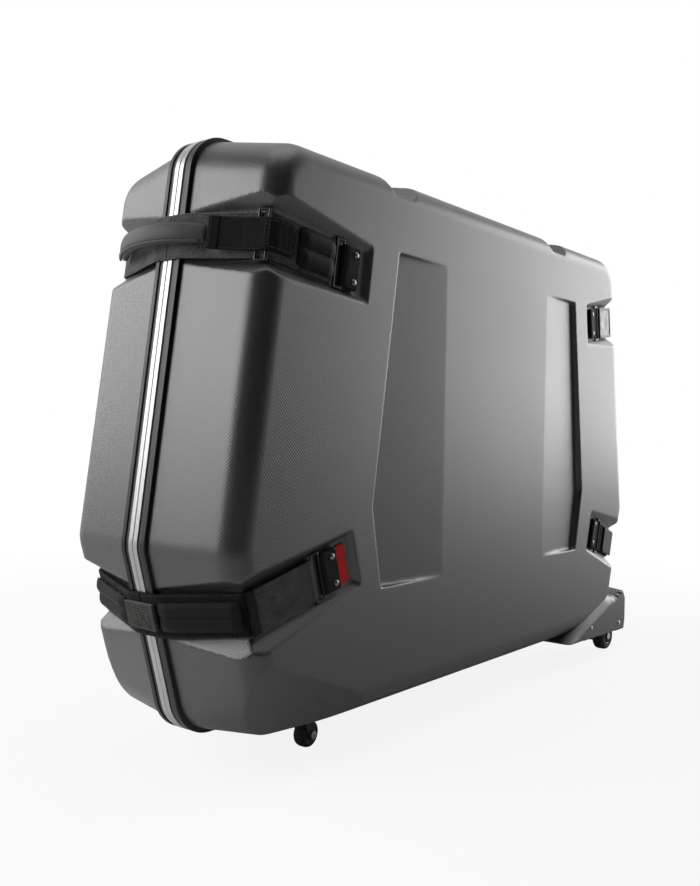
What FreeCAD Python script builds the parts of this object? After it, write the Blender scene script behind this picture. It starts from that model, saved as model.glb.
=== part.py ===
import FreeCAD, Part
import math
import os
import re
import types
import Sketcher

V = FreeCAD.Vector

# Driving dimensions in millimetres. X runs along the case with the strapped front end at -X,
# Y across it with the joint of the two halves at zero, Z up from the floor.
sizes = {
    # side view of the joint: six corners, the nose being the foremost one
    "nose_half": 616, "nose_height": 308,
    "top_half": 541, "top_height": 855,
    "base_half": 544, "base_height": 50,
    "corner_round": 62, "nose_round": 52,
    # half shells
    "half_thickness": 160, "wall": 3, "rim_setback": 5,
    "end_draft": 17, "top_draft": 22, "base_draft": 12, "shoulder_round": 35,
    # metal frame round the joint, with its rubber strip and seal
    "joint_gap": 0.3, "frame_width": 23, "frame_depth": 16,
    "lip_width": 8.5, "groove_width": 7, "groove_depth": 3, "trim_setback": 0.5,
    "flange_reach": 8, "flange_inset": 13.5,
    "seal_width": 4, "seal_depth": 4, "seal_inset": 5.5,
    # strap recesses, drawn in plan from the joint round the corner to the side
    "seat_drop": 2, "corner_drop": 20, "corner_inset": 20, "end_drop": 8,
    "upper_front_run": 220, "lower_front_run": 238, "upper_rear_run": 172, "lower_rear_run": 180,
    "recess_floor": 66, "recess_reach": 60,
    "upper_drop": 145, "lower_height": 221,
    "top_strap_at": 253, "top_floor": 48, "top_drop": 22,
    # shallow side panel with its two sunken ends
    "panel_drop": 133, "panel_nose": 354, "panel_base": 238, "panel_depth": 11,
    "panel_front_top": 265, "panel_front_nose": 319, "panel_front_base": 296, "panel_front_fade": 138,
    "panel_rear_top": 325, "panel_rear_nose": 373, "panel_rear_base": 348, "panel_rear_fade": 205,
    # cut facet at the lower front corner
    "facet_front": 556, "facet_high": 176, "facet_rear": 300, "facet_low": 80,
    "facet_tip": 530, "facet_tip_y": 112, "facet_tip_z": 64,
    # riveted anchors of the straps, measured back from the end of their recess
    "anchor_front": 50, "anchor_rear": 15, "anchor_thick": 8, "anchor_skin": 2, "anchor_width": 60,
    "slot_depth": 7, "ring_at": 48, "ring_span": 14, "ring_wire": 1.75, "ring_width": 66,
    "rivet_at": 25, "rivet_spread": 19, "rivet_radius": 4.5, "rivet_height": 1.5, "tag_room": 14,
    # webbing and pads
    "band_thick": 3, "band_width": 60, "band_stop": 6,
    "tail_thick": 4, "tail_width": 58, "tail_over": 45, "tail_gap": 1,
    "wrap_start": 67, "wrap_end": 78, "wrap_width": 44, "wrap_proud": 10, "wrap_thick": 4,
    "handle_left": 124, "handle_right": 63, "handle_stand": 18, "handle_tall": 29, "handle_thick": 17,
    "handle_edge": 5.6, "corner_ring_back": 3,
    "side_pad_from": 44, "pad_gap": 3, "pad_width": 42, "pad_edge": 3, "pad_crown": 9, "pad_valley": 5,
    "pad_lead": 12, "tab_left": 29, "tab_right": 27, "tab_width": 38, "tab_thick": 6,
    "tag_length": 18, "tag_width": 56, "tag_thick": 2,
    "window_length": 70, "window_width": 62, "window_thick": 3, "window_over": 8,
    "plate_length": 56, "plate_width": 52,
    "top_tail_from": 95, "top_anchor_length": 32, "top_anchor_thick": 5, "top_width": 40, "top_spread": 11,
    # casters under the front
    "caster_x": 362, "caster_y": 62, "caster_trail": 19, "caster_radius": 20, "caster_width": 18,
    "caster_hub": 12, "caster_axle": 3, "king_radius": 4, "king_head": 6.5, "king_head_height": 2.5,
    "crown_radius": 15, "crown_height": 9, "leg_thick": 3, "leg_gap": 1.5, "leg_half": 7, "leg_toe": 6,
    "plate_half": 29, "plate_across": 48, "plate_thick": 3, "bolt_at": 23, "bolt_radius": 4, "bolt_height": 2.5,
    "pocket_front": 440, "pocket_rear": 318, "pocket_inner": 35, "pocket_top": 63,
    # wheels and their housings at the rear
    "wheel_x": 566, "wheel_y": 128, "wheel_radius": 29, "wheel_width": 26, "wheel_hub": 17, "wheel_axle": 4,
    "axle_head": 7, "axle_head_height": 1.4, "wheel_room": 4, "wheel_side_room": 2, "tread_bevel": 5,
    "housing_front": 316, "housing_low": 62, "housing_rear": 585, "housing_high": 144, "housing_inner": 98,
    "bulge_reach": 21, "housing_bulge_z": 112, "housing_heel_z": 62, "foot_reach": 17, "housing_foot_z": 43,
    "belly_reach": 154, "housing_belly_z": 46, "housing_proud": 2, "housing_seam": 2, "housing_nose": 14,
    "hollow_front": 64, "hollow_rear": 210, "hollow_wall": 7,
    "cheek_half": 18, "cheek_toe": 12, "cheek_thick": 13,
    "screw_x": 572, "screw_z": 60, "screw_front_x": 430, "screw_front_z": 70,
    # foam lining and the straps that hold the load on it
    "foam_front": 326, "foam_rear": 366, "foam_low": 112, "foam_drop": 75, "foam_thick": 20,
    "tie_at": 150, "tie_width": 38, "tie_thick": 2.5, "tie_low": 150, "tie_drop": 105,
    # allowances
    "overrun": 5, "clearance": 0.3, "running": 0.05,
}
S = types.SimpleNamespace(**sizes)

doc = FreeCAD.newDocument("bike_travel_case")
sheet = doc.addObject("Spreadsheet::Sheet", "Sizes")
for row, (alias, value) in enumerate(sizes.items(), 1):
    sheet.set(f"A{row}", alias)
    sheet.set(f"B{row}", str(value))
    sheet.setAlias(f"B{row}", alias)
doc.recompute()

word = re.compile(r"[a-z][a-z0-9_]*")
across_case = V(0, 1, 0)
along_case = V(1, 0, 0)
upwards = V(0, 0, 1)


def formula(text):
    """A formula in the sheet's own names, as the document's expression."""
    return word.sub(lambda found: f"Sizes.{found[0]}" if found[0] in sizes else found[0], text)


def bind(item, **formulas):
    """Ties properties of an object to formulas; a double underscore stands for a dot."""
    for prop, text in formulas.items():
        item.setExpression(prop.replace("__", "."), formula(text))
    return item


def place(item, frame):
    item.Placement = frame
    return item


def origin_plane(body, role):
    return next(plane for plane in body.Origin.OriginFeatures if plane.Role == role)


def draw(body, name, role, points, lift="0"):
    """A closed outline on one of the body's planes, each corner held by two formulas."""
    drawn = body.newObject("Sketcher::SketchObject", name)
    drawn.AttachmentSupport = (origin_plane(body, role), [""])
    drawn.MapMode = "FlatFace"
    bind(drawn, AttachmentOffset__Base__z=lift)
    count = len(points)
    turns = [2 * math.pi * i / count for i in range(count)]
    rough = [V(S.overrun * math.cos(turn), S.overrun * math.sin(turn), 0) for turn in turns]
    for i in range(count):
        drawn.addGeometry(Part.LineSegment(rough[i], rough[(i + 1) % count]), False)
    for i in range(count):
        drawn.addConstraint(Sketcher.Constraint("Coincident", i, 2, (i + 1) % count, 1))
    for i, (across, along) in enumerate(points):
        for kind, text, start in (("DistanceX", across, rough[i].x), ("DistanceY", along, rough[i].y)):
            number = drawn.addConstraint(Sketcher.Constraint(kind, -1, 1, i, 1, start))
            drawn.setExpression(f"Constraints[{number}]", formula(text))
    return drawn


def slab(name, role, points, lift, length, middle=False, back=False):
    """A body made of one padded outline."""
    body = doc.addObject("PartDesign::Body", name)
    grown = body.newObject("PartDesign::Pad", f"{name}_pad")
    grown.Profile = draw(body, f"{name}_outline", role, points, lift)
    bind(grown, Length=length)
    grown.SideType = "Symmetric" if middle else "One side"
    grown.Reversed = back
    return body


def round_edges(body, chosen, radius):
    """Rounds the edges of the body's last feature that the test picks."""
    doc.recompute()
    base = body.Tip
    names = [f"Edge{i}" for i, edge in enumerate(base.Shape.Edges, 1) if chosen(edge)]
    rounded = body.newObject("PartDesign::Fillet", f"{body.Name}_round_{len(body.Group)}")
    rounded.Base = (base, names)
    bind(rounded, Radius=radius)
    body.Tip = rounded
    doc.recompute()
    return rounded


def join(kind, name, items):
    """A fusion, an intersection or a group of several objects."""
    joined = doc.addObject(f"Part::{kind}", name)
    if kind == "Compound":
        joined.Links = items
    else:
        joined.Shapes = items
    return joined


def cut(name, base, tools):
    left = doc.addObject("Part::Cut", name)
    left.Base = base
    left.Tool = tools[0] if len(tools) == 1 else join("MultiFuse", f"{name}_tools", tools)
    return left


def mirror(name, source, normal):
    turned = doc.addObject("Part::Mirroring", name)
    turned.Source = source
    turned.Normal = normal
    return turned


def rod(name, radius, length, base, axis):
    """A cylinder that starts at a point and runs along an axis."""
    drum = doc.addObject("Part::Cylinder", name)
    bind(drum, Radius=radius, Height=length)
    return place(drum, FreeCAD.Placement(base, FreeCAD.Rotation(upwards, axis)))


# The two halves' outline and the drafted form of a shell.

def outline(ends, top, base):
    """The six corners of the side view, drawn in from the joint by three amounts."""
    half = [("top_half", f"top_height - ({top})"), ("nose_half", "nose_height"),
            ("base_half", f"base_height + {base}")]
    front = [(f"-({reach} - ({ends}))", height) for reach, height in half]
    rear = [(f"{reach} - ({ends})", height) for reach, height in reversed(half)]
    return front + rear


def runs_across(edge):
    """Whether an edge runs from one side view to the other rather than within one."""
    ends = [vertex.Y for vertex in edge.Vertexes]
    return len(ends) == 2 and abs(ends[0] - ends[1]) > S.joint_gap


def at_nose(edge):
    return abs(edge.CenterOfMass.z - S.nose_height) < S.corner_round


def round_corners(body, less):
    """Rounds the case's corners: the nose more tightly than the four others."""
    round_edges(body, lambda edge: runs_across(edge) and not at_nose(edge), f"corner_round - ({less})")
    round_edges(body, lambda edge: runs_across(edge) and at_nose(edge), f"nose_round - ({less})")


def shell_form(name, inset):
    """The drafted form of one half, drawn in by an inset: its skin, or the space inside."""
    body = doc.addObject("PartDesign::Body", name)
    rim = draw(body, f"{name}_rim", "XZ_Plane", outline(*[f"rim_setback + {inset}"] * 3), "frame_width")
    drafts = [f"rim_setback + {draft} + {inset}" for draft in ("end_draft", "top_draft", "base_draft")]
    side = draw(body, f"{name}_side", "XZ_Plane", outline(*drafts), f"half_thickness - {inset}")
    loft = body.newObject("PartDesign::AdditiveLoft", f"{name}_loft")
    loft.Profile = rim
    loft.Sections = [side]
    loft.Ruled = True
    round_corners(body, inset)
    deep = -(S.half_thickness - S.overrun)
    round_edges(body, lambda edge: edge.BoundBox.YMax < deep, f"shoulder_round - {inset}")
    return body


def ring_plate(name, inset, start, depth):
    """A plate of the case's outline, drawn in by an inset, from one depth to another."""
    body = slab(name, "XZ_Plane", outline(inset, inset, f"({inset})"), start, f"{depth} - ({start})")
    round_corners(body, inset)
    return body


# Where straps lie: a frame on the case's edge for each, and runs of floor within its plan.

upper_slope = (S.nose_half - S.top_half) / (S.top_height - S.nose_height)
upper_height = S.top_height - S.upper_drop
lower_slope = (S.nose_half - S.base_half) / (S.nose_height - S.base_height)


def edge_frame(x, z, slope_angle):
    return FreeCAD.Placement(V(x, 0, z), FreeCAD.Rotation(across_case, slope_angle))


edges = {
    "upper": edge_frame(-(S.nose_half - (upper_height - S.nose_height) * upper_slope), upper_height,
                        math.degrees(math.atan(upper_slope))),
    "lower": edge_frame(-(S.nose_half - (S.nose_height - S.lower_height) * lower_slope), S.lower_height,
                        -math.degrees(math.atan(lower_slope))),
    "top_front": edge_frame(-S.top_strap_at, S.top_height, 90),
    "top_rear": edge_frame(S.top_strap_at, S.top_height, 90),
}
plan_start = V(S.rim_setback + S.seat_drop, -S.frame_width, 0)
plan_corner = V(S.rim_setback + S.end_draft + S.corner_drop, -(S.half_thickness - S.corner_inset), 0)
plan_top = V(S.rim_setback + S.top_draft + S.top_drop, -S.half_thickness, 0)
corner_x = "(rim_setback + end_draft + corner_drop)"
corner_y = "(half_thickness - corner_inset)"
end_y = "(half_thickness - end_drop)"


def run_frame(start, end):
    """Frame of a straight run of floor: x along it, -y out of the case."""
    along = end - start
    return FreeCAD.Placement(start, FreeCAD.Rotation(upwards, math.degrees(math.atan2(along.y, along.x))))


def side_frame(edge, run):
    end = V(sizes[run], -(S.half_thickness - S.end_drop), 0)
    return edges[edge].multiply(run_frame(plan_corner, end))


def trough(name, frame, length, floor, grow):
    """A flat-floored trench with walls at 45 degrees; grown, it leaves the wall behind it."""
    wedge = doc.addObject("Part::Wedge", name)
    near = f"{floor} / 2 + {grow} * (sqrt(2) - 1)"
    far = f"{floor} / 2 + recess_reach + {grow} * sqrt(2)"
    bind(wedge, Ymin="-recess_reach", Ymax=grow, Zmin=f"-({far})", Zmax=far, Z2min=f"-({near})", Z2max=near,
         Xmin="-recess_reach", X2min="-recess_reach", X2max=f"{length} + {grow} * (sqrt(2) - 1)",
         Xmax=f"{length} + recess_reach + {grow} * sqrt(2)")
    return place(wedge, frame)


def strap_recess(name, edge, run, grow):
    """Trench for one strap: from the joint to the corner and on along the side."""
    across = trough(f"{name}_across", edges[edge].multiply(run_frame(plan_start, plan_corner)),
                    "half_thickness", "recess_floor", grow)
    along = trough(f"{name}_along", side_frame(edge, run), f"{run} - {corner_x}", "recess_floor", grow)
    return join("MultiFuse", name, [across, along])


def panel_end(name, side, sign, grow):
    """Sunken end of the side panel: an outline like the case's own, with a floor that rises to nothing."""
    edge = f"(panel_{side}_nose + {grow})"
    fade = f"panel_{side}_fade"
    reach = [(f"panel_{side}_top + {grow}", f"top_height - panel_drop + {grow}"), (edge, "panel_nose"),
             (f"panel_{side}_base + {grow}", f"panel_base - {grow}"),
             (fade, f"panel_base - {grow}"), (fade, f"top_height - panel_drop + {grow}")]
    edged = slab(f"{name}_edge", "XZ_Plane", [(f"{sign} * ({x})", z) for x, z in reach],
                 "half_thickness + overrun", "panel_depth * 2 + overrun + wall", back=True)
    outside = "-half_thickness - overrun * 2"
    ramp = slab(f"{name}_ramp", "XY_Plane",
                [(f"{sign} * {fade}", f"{grow} - half_thickness"),
                 (f"{sign} * {edge}", f"panel_depth + {grow} - half_thickness"),
                 (f"{sign} * {edge}", outside), (f"{sign} * {fade}", outside)], "0", "top_height")
    return join("MultiCommon", name, [edged, ramp])


def corner_facet(name, grow):
    """Block whose face is the slanting facet through three named points of the lower front corner."""
    high = V(-S.facet_front, -S.half_thickness, S.facet_high)
    low = V(-S.facet_rear, -S.half_thickness, S.facet_low)
    tip = V(-S.facet_tip, -S.facet_tip_y, S.facet_tip_z)
    inward = (tip - high).cross(low - high).normalize()
    if inward.y < 0:
        inward = inward * -1
    block = bind(doc.addObject("Part::Box", name), Length="nose_half", Width="nose_half", Height="half_thickness")
    turn = FreeCAD.Rotation(upwards, inward)
    middle = (high + low + tip) * (1 / 3) + inward * sizes.get(grow, 0)
    corner = V(S.nose_half / 2, S.nose_half / 2, S.half_thickness)
    return place(block, FreeCAD.Placement(middle - turn.multVec(corner), turn))


def caster_pocket(name, grow):
    """Hollow in the underside, open to the outer edge, that a caster turns in."""
    block = doc.addObject("Part::Wedge", name)
    deep = f"pocket_top + {grow}"
    bind(block, Ymin="0", Ymax=deep,
         Xmin=f"-(pocket_front + {deep} + {grow})", X2min=f"-(pocket_front + {grow})",
         Xmax=f"-(pocket_rear - {deep} - {grow})", X2max=f"-(pocket_rear - {grow})",
         Zmin=f"pocket_inner - {grow}", Z2min=f"pocket_inner - {grow}",
         Zmax="half_thickness + overrun", Z2max="half_thickness + overrun")
    return place(block, FreeCAD.Placement(V(), FreeCAD.Rotation(along_case, 90)))


seam_slope = "(housing_high - housing_low) / (housing_rear - housing_front)"


def housing_pocket(name, grow):
    """Corner cut away below a slanting seam, where the wheel housing sits."""
    far = "(nose_half + overrun)"
    seam = [("housing_front - overrun", f"housing_low - overrun * {seam_slope} + {grow}"),
            (far, f"housing_high + ({far} - housing_rear) * {seam_slope} + {grow}"),
            (far, "0"), ("housing_front - overrun", "0")]
    return slab(name, "XZ_Plane", seam, f"housing_inner - {grow}", "half_thickness")


def shell_cuts(name, grow):
    """Every recess of one half shell; grown by the wall, the same set leaves the wall behind it."""
    cuts = []
    for level in ("upper", "lower"):
        cuts.append(strap_recess(f"{name}_{level}_front", level, f"{level}_front_run", grow))
        seat = strap_recess(f"{name}_{level}_rear_seat", level, f"{level}_rear_run", grow)
        cuts.append(mirror(f"{name}_{level}_rear", seat, along_case))
    for edge in ("top_front", "top_rear"):
        frame = edges[edge].multiply(run_frame(plan_start, plan_top))
        cuts.append(trough(f"{name}_{edge}", frame, "half_thickness", "top_floor", grow))
    cuts.append(panel_end(f"{name}_panel_front", "front", -1, grow))
    cuts.append(panel_end(f"{name}_panel_rear", "rear", 1, grow))
    return cuts + [corner_facet(f"{name}_facet", grow), caster_pocket(f"{name}_pocket", grow),
                   housing_pocket(f"{name}_housing", grow)]


parts = {}


def keep(node, item):
    """Makes an object one of the part's nodes."""
    item.Label = node
    parts[node] = item
    return item


def keep_pair(node, item):
    """Keeps a right-hand piece and its mirror image on the left half."""
    keep(f"right_{node}", item)
    keep(f"left_{node}", mirror(f"left_{node}", item, across_case))


# Half shells.
skin = cut("shell_skin", shell_form("shell_outside", "0"), shell_cuts("cut", "0"))
space = cut("shell_space", shell_form("shell_inside", "wall"), shell_cuts("leave", "wall"))
keep_pair("shell", cut("right_shell", skin, [space]))

# Metal frame: a ring with a flange inside the shell's rim, a groove for the rubber strip and one for the seal.
half_gap = "joint_gap / 2"
bore = ring_plate("frame_bore", "frame_depth", "0", "frame_width + flange_reach + overrun")
groove_core = ring_plate("groove_core", "groove_depth", "lip_width", "lip_width + groove_width")
groove_rim = ring_plate("groove_rim", "-overrun", "lip_width", "lip_width + groove_width")
groove = cut("frame_groove", groove_rim, [groove_core])
seal_core = ring_plate("seal_core", "seal_inset + seal_width", half_gap, "seal_depth")
seal = cut("right_seal", ring_plate("seal_rim", "seal_inset", half_gap, "seal_depth"), [seal_core])
trim = cut("right_frame_trim", ring_plate("trim_rim", "trim_setback", "lip_width", "lip_width + groove_width"),
           [groove_core])
bar = join("MultiFuse", "frame_bar", [ring_plate("frame_rim", "0", half_gap, "frame_width"),
                                      ring_plate("frame_flange", "flange_inset", "frame_width - overrun",
                                                 "frame_width + flange_reach")])
keep_pair("frame", cut("right_frame", bar, [bore, groove, seal]))
keep_pair("frame_trim", trim)
keep_pair("seal", seal)


# Straps. Plans are drawn in the frame of an edge of the case: x inward, y across, z along the edge.

start_x = "(rim_setback + seat_drop)"
top_x = "(rim_setback + top_draft + top_drop)"
on_floor = "clearance"
on_band = "(band_thick + clearance * 2)"
on_ring = "(band_thick + ring_wire * 2 + clearance)"
ring_end = "ring_at + ring_span"
tail_stop = "ring_at + ring_span + ring_wire + tail_gap"


def station(x, y, out_x, out_y):
    """A corner of a strap's inner line, with the way in which the strap thickens there."""
    return x, y, out_x, out_y


def at_joint(lift):
    return station(f"-{lift}", f"-({half_gap})", -1, 0)


def at_rim(lift):
    return station(f"-{lift}", "-frame_width", -1, 0)


def past_joint(lift, reach):
    return station(f"-{lift}", reach, -1, 0)


def at_corner(lift):
    return station(f"{corner_x} - {lift}", f"-{corner_y} - {lift}", -1, -1)


def at_side(lift, run, x):
    depth = f"{corner_y} + ({end_y} - {corner_y}) * ({x} - {corner_x}) / ({run} - {corner_x})"
    return station(x, f"-({depth}) - {lift}", 0, -1)


def on_front(lift, y):
    """A point of the straight line from the rim to the corner."""
    share = f"({y} - frame_width) / ({corner_y} + {lift} - frame_width)"
    return station(f"{corner_x} * {share} - {lift}", f"-{y}", -1, 0)


def strip(name, edge, stations, thick, width):
    """Webbing of one thickness laid through stations, in the frame of an edge."""
    inner = [(x, y) for x, y, _, _ in stations]
    outer = [(f"{x} + {out_x} * {thick}", f"{y} + {out_y} * {thick}") for x, y, out_x, out_y in stations]
    return place(slab(name, "XY_Plane", inner + outer[::-1], "0", width, middle=True), edges[edge])


def shifted(frame, s, n=0):
    """A frame moved along its floor and out of it."""
    return frame.multiply(FreeCAD.Placement(V(s, -n, 0), FreeCAD.Rotation()))


def anchor(name, frame, thick, width, length, slotted):
    """Riveted strip that holds a strap's end, with a slot for the wire of its ring."""
    rim = [("0", "0"), (length, "0"), (length, f"-{thick}"), ("0", f"-{thick}")]
    slot = [("0", f"-({thick} - anchor_skin)"), ("slot_depth", f"-({thick} - anchor_skin)"),
            ("slot_depth", "-anchor_skin"), ("0", "-anchor_skin")]
    return place(slab(name, "XY_Plane", rim + slot if slotted else rim, "0", width, middle=True), frame)


def rivets(name, frame, s, n, spread):
    """A pair of round heads on a strip."""
    out = frame.Rotation.multVec(V(0, -1, 0))
    return [rod(f"{name}_{i}", "rivet_radius", "rivet_height", frame.multVec(V(s, -n, side * spread)), out)
            for i, side in enumerate((-1, 1))]


def wire_ring(name, frame):
    """Rectangular ring of round wire, its first bar on the frame's own axis."""
    half = S.ring_width / 2
    along = frame.Rotation.multVec(upwards)
    back = frame.Rotation.multVec(V(-1, 0, 0))
    corners = [V(0, 0, -half), V(-S.ring_span, 0, -half), V(0, 0, half), V(-S.ring_span, 0, half)]
    wires = [rod(f"{name}_bar_{i}", "ring_wire", "ring_width", frame.multVec(corners[i]), along) for i in (0, 1)]
    wires += [rod(f"{name}_side_{i}", "ring_wire", "ring_span", frame.multVec(corners[i]), back) for i in (0, 2)]
    for i, corner in enumerate(corners):
        ball = bind(doc.addObject("Part::Sphere", f"{name}_bend_{i}"), Radius="ring_wire")
        wires.append(place(ball, FreeCAD.Placement(frame.multVec(corner), FreeCAD.Rotation())))
    return join("MultiFuse", name, wires)


pad_end_shares = (0.95, 0.5)


def channel_pad(name, frame, length, width):
    """Stitched pad of two stuffed channels, its ends drawn in, lying on a frame's floor."""
    def section(s, wide_share, high_share):
        half = width / 2 * wide_share
        edge, crown, valley = [-high * high_share for high in (S.pad_edge, S.pad_crown, S.pad_valley)]
        low, high, middle = V(s, edge, -half), V(s, edge, half), V(s, valley, 0)
        base = [V(s, 0, half), V(s, 0, -half)]
        return Part.Wire([Part.makeLine(base[0], base[1]), Part.makeLine(base[1], low),
                          Part.Arc(low, V(s, crown, -half / 2), middle).toShape(),
                          Part.Arc(middle, V(s, crown, half / 2), high).toShape(),
                          Part.makeLine(high, base[0])])

    sections = [section(0, *pad_end_shares), section(S.pad_lead, 1, 1),
                section(length - S.pad_lead, 1, 1), section(length, *pad_end_shares)]
    stuffed = doc.addObject("Part::Feature", name)
    stuffed.Shape = Part.makeLoft(sections, True, True)
    return place(stuffed, frame)


handle_corner_shares = (0.72, 0.78)
handle_stations = ((0, 0.6, 0.82), (0.2, 0.94, 0.98), (0.5, 1, 1), (0.8, 0.94, 0.98), (1, 0.6, 0.82))


def roll_handle(name, frame, ends, middle):
    """Stuffed roll that arches over the joint from one point of the plan to another."""
    arch = Part.Arc(ends[0], middle, ends[1])
    first, last = arch.parameter(ends[0]), arch.parameter(ends[1])

    def section(share, thick_share, tall_share):
        turn = first + (last - first) * share
        centre, along = arch.value(turn), V(*arch.tangent(turn)[0])
        thick = along.cross(upwards).normalize() * (S.handle_thick / 2 * thick_share)
        tall = upwards * (S.handle_tall / 2 * tall_share)
        thin, high = handle_corner_shares
        bends = [centre + thick * (a * thin) + tall * (b * high) for a, b in ((1, 1), (-1, 1), (-1, -1), (1, -1))]
        crests = [centre + tall, centre - thick, centre - tall, centre + thick]
        return Part.Wire([Part.Arc(bends[i], crests[i], bends[(i + 1) % 4]).toShape() for i in range(4)])

    stuffed = doc.addObject("Part::Feature", name)
    stuffed.Shape = Part.makeLoft([section(*shares) for shares in handle_stations], True, False)
    return place(stuffed, frame)


def closure(name, edge, run, room=0):
    """Where a strap's ring and anchor lie on the side, the room being kept free behind the anchor."""
    frame = side_frame(edge, run)
    end = sizes[run] - plan_corner.x - room
    plate = anchor(f"{name}_anchor", shifted(frame, end - S.anchor_front), "anchor_thick", "anchor_width",
                   "anchor_front - anchor_rear", True)
    heads = rivets(f"{name}_rivet", frame, end - S.rivet_at, S.anchor_thick, S.rivet_spread)
    ring = wire_ring(f"{name}_ring", shifted(frame, end - S.ring_at, S.anchor_thick / 2))
    return frame, end, plate, heads, ring


anchors = []
heads = []
bands_left = []

# Upper front strap: band, wire ring at the corner, wrap, padded patch with its ring, and the roll handle.
upper_run = "upper_front_run"
frame, end, plate, pair, ring = closure("upper_front", "upper", upper_run)
anchors.append(plate)
heads += pair
keep("upper_ring", ring)
band_line = [at_joint(on_floor), at_rim(on_floor), at_corner(on_floor),
             at_side(on_floor, upper_run, f"({upper_run} - ({ring_end}) - band_stop)")]
keep("upper_band_right", strip("upper_band_right", "upper", band_line, "band_thick", "band_width"))
keep("upper_band_left", mirror("upper_band_left", parts["upper_band_right"], across_case))
patch_lift = S.band_thick + S.clearance * 2
slope_start = V(-patch_lift, -S.frame_width, 0)
slope_end = plan_corner - V(patch_lift, patch_lift, 0)
slope_length = (slope_end - slope_start).Length
slope_run = run_frame(slope_start, slope_end)
corner_seat = shifted(edges["upper"].multiply(slope_run), slope_length - S.corner_ring_back, S.ring_wire)
keep("upper_corner_ring", wire_ring("upper_corner_ring", corner_seat))
wrap_line = [on_front(on_ring, "wrap_start"), at_corner(on_ring), at_side(on_ring, upper_run, "wrap_end")]
wrap_inner = [(x, y) for x, y, _, _ in wrap_line]
wrap_thicks = ("wrap_proud", "wrap_thick", "wrap_thick")
wrap_outer = [(f"{x} + {out_x} * {thick}", f"{y} + {out_y} * {thick}")
              for (x, y, out_x, out_y), thick in zip(wrap_line, wrap_thicks)]
wrap = slab("upper_wrap", "XY_Plane", wrap_inner + wrap_outer[::-1], "0", "wrap_width", middle=True)
keep("upper_wrap", place(wrap, edges["upper"]))
patch_end = end - S.ring_at - S.ring_span - S.ring_wire - S.tail_gap
keep("upper_side_pad", channel_pad("upper_side_pad", shifted(frame, S.side_pad_from, patch_lift),
                                   patch_end - S.side_pad_from, S.pad_width + S.pad_lead))


def band_face(y):
    """How far in the outer face of a front band lies, at a distance from the joint."""
    reach = S.band_thick + S.clearance
    rise = (y - S.frame_width) / (-plan_corner.y + reach - S.frame_width)
    return plan_corner.x * rise - reach


handle_ends = [V(band_face(y) - S.handle_edge, side * y, 0)
               for y, side in ((S.handle_right, -1), (S.handle_left, 1))]
handle_middle = V(-S.handle_stand, (S.handle_left - S.handle_right) / 2, 0)
keep("upper_handle", roll_handle("upper_handle", edges["upper"], handle_ends, handle_middle))

# Lower front strap: band, two stuffed pads, stitched tab over the joint, tail with its ring, and a tag.
lower_run = "lower_front_run"
frame, end, plate, pair, ring = closure("lower_front", "lower", lower_run, S.tag_room)
anchors.append(plate)
heads += pair
keep("lower_ring", ring)
band_line = [at_joint(on_floor), at_rim(on_floor), at_corner(on_floor),
             at_side(on_floor, lower_run, f"({lower_run} - tag_room - ({ring_end}) - band_stop)")]
keep("lower_band_right", strip("lower_band_right", "lower", band_line, "band_thick", "band_width"))
keep("lower_band_left", mirror("lower_band_left", parts["lower_band_right"], across_case))
tab_line = [past_joint(on_band, "tab_left"), past_joint(on_band, "-tab_right")]
keep("lower_tab", strip("lower_tab", "lower", tab_line, "tab_thick", "tab_width"))
tail_line = [at_side(on_band, lower_run, f"({lower_run} - tag_room - ({tail_stop}))"),
             at_side(on_band, lower_run, corner_x)]
keep("lower_tail", strip("lower_tail", "lower", tail_line, "tail_thick", "tail_width"))
slope = edges["lower"].multiply(slope_run)
pad_run = slope_length / (-slope_end.y - S.frame_width)
right_from = (S.tab_right - S.frame_width) * pad_run + S.pad_gap
keep("lower_pad_right", channel_pad("lower_pad_right", shifted(slope, right_from),
                                    slope_length - right_from - S.pad_gap, S.pad_width))
left_from = (S.tab_left - S.frame_width) * pad_run + S.pad_gap
left_source = channel_pad("lower_pad_source", shifted(slope, left_from),
                          slope_length - left_from - S.pad_gap, S.pad_width)
keep("lower_pad_left", mirror("lower_pad_left", left_source, across_case))
tag_frame = shifted(frame, end - S.anchor_rear + S.pad_gap, S.clearance)
keep("lower_tag", anchor("lower_tag", tag_frame, "tag_thick", "tag_width", "tag_length", False))

# Rear straps: each tail runs from its ring round the corner and over the joint, onto the left half.
for level in ("upper", "lower"):
    name = f"rear_{level}"
    run = f"{level}_rear_run"
    frame, end, plate, pair, ring = closure(f"{name}_seat", level, run)
    anchors.append(mirror(f"{name}_anchor", plate, along_case))
    heads += [mirror(f"{name}_rivet_{i}", head, along_case) for i, head in enumerate(pair)]
    keep(f"{name}_ring", mirror(f"{name}_ring", ring, along_case))
    tail_line = [at_side(on_floor, run, f"({run} - ({tail_stop}))"), at_corner(on_floor),
                 at_rim(on_band), past_joint(on_band, "tail_over")]
    tail = strip(f"{name}_tail_seat", level, tail_line, "tail_thick", "tail_width")
    keep(f"{name}_tail", mirror(f"{name}_tail", tail, along_case))
    piece = "window" if level == "upper" else "plate"
    cover = anchor(f"{name}_{piece}_seat", shifted(frame, -S.window_over, S.tail_thick + S.clearance * 3),
                   "window_thick", f"{piece}_width", f"{piece}_length", False)
    keep(f"{name}_{piece}", mirror(f"{name}_{piece}", cover, along_case))
    band_line = [at_joint(on_floor), at_rim(on_floor), at_corner(on_floor),
                 at_side(on_floor, run, f"({run} - ({ring_end}) - band_stop)")]
    band = strip(f"{name}_band_seat", level, band_line, "band_thick", "band_width")
    bands_left.append(mirror(f"{name}_band_left", mirror(f"{name}_band", band, along_case), across_case))

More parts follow.
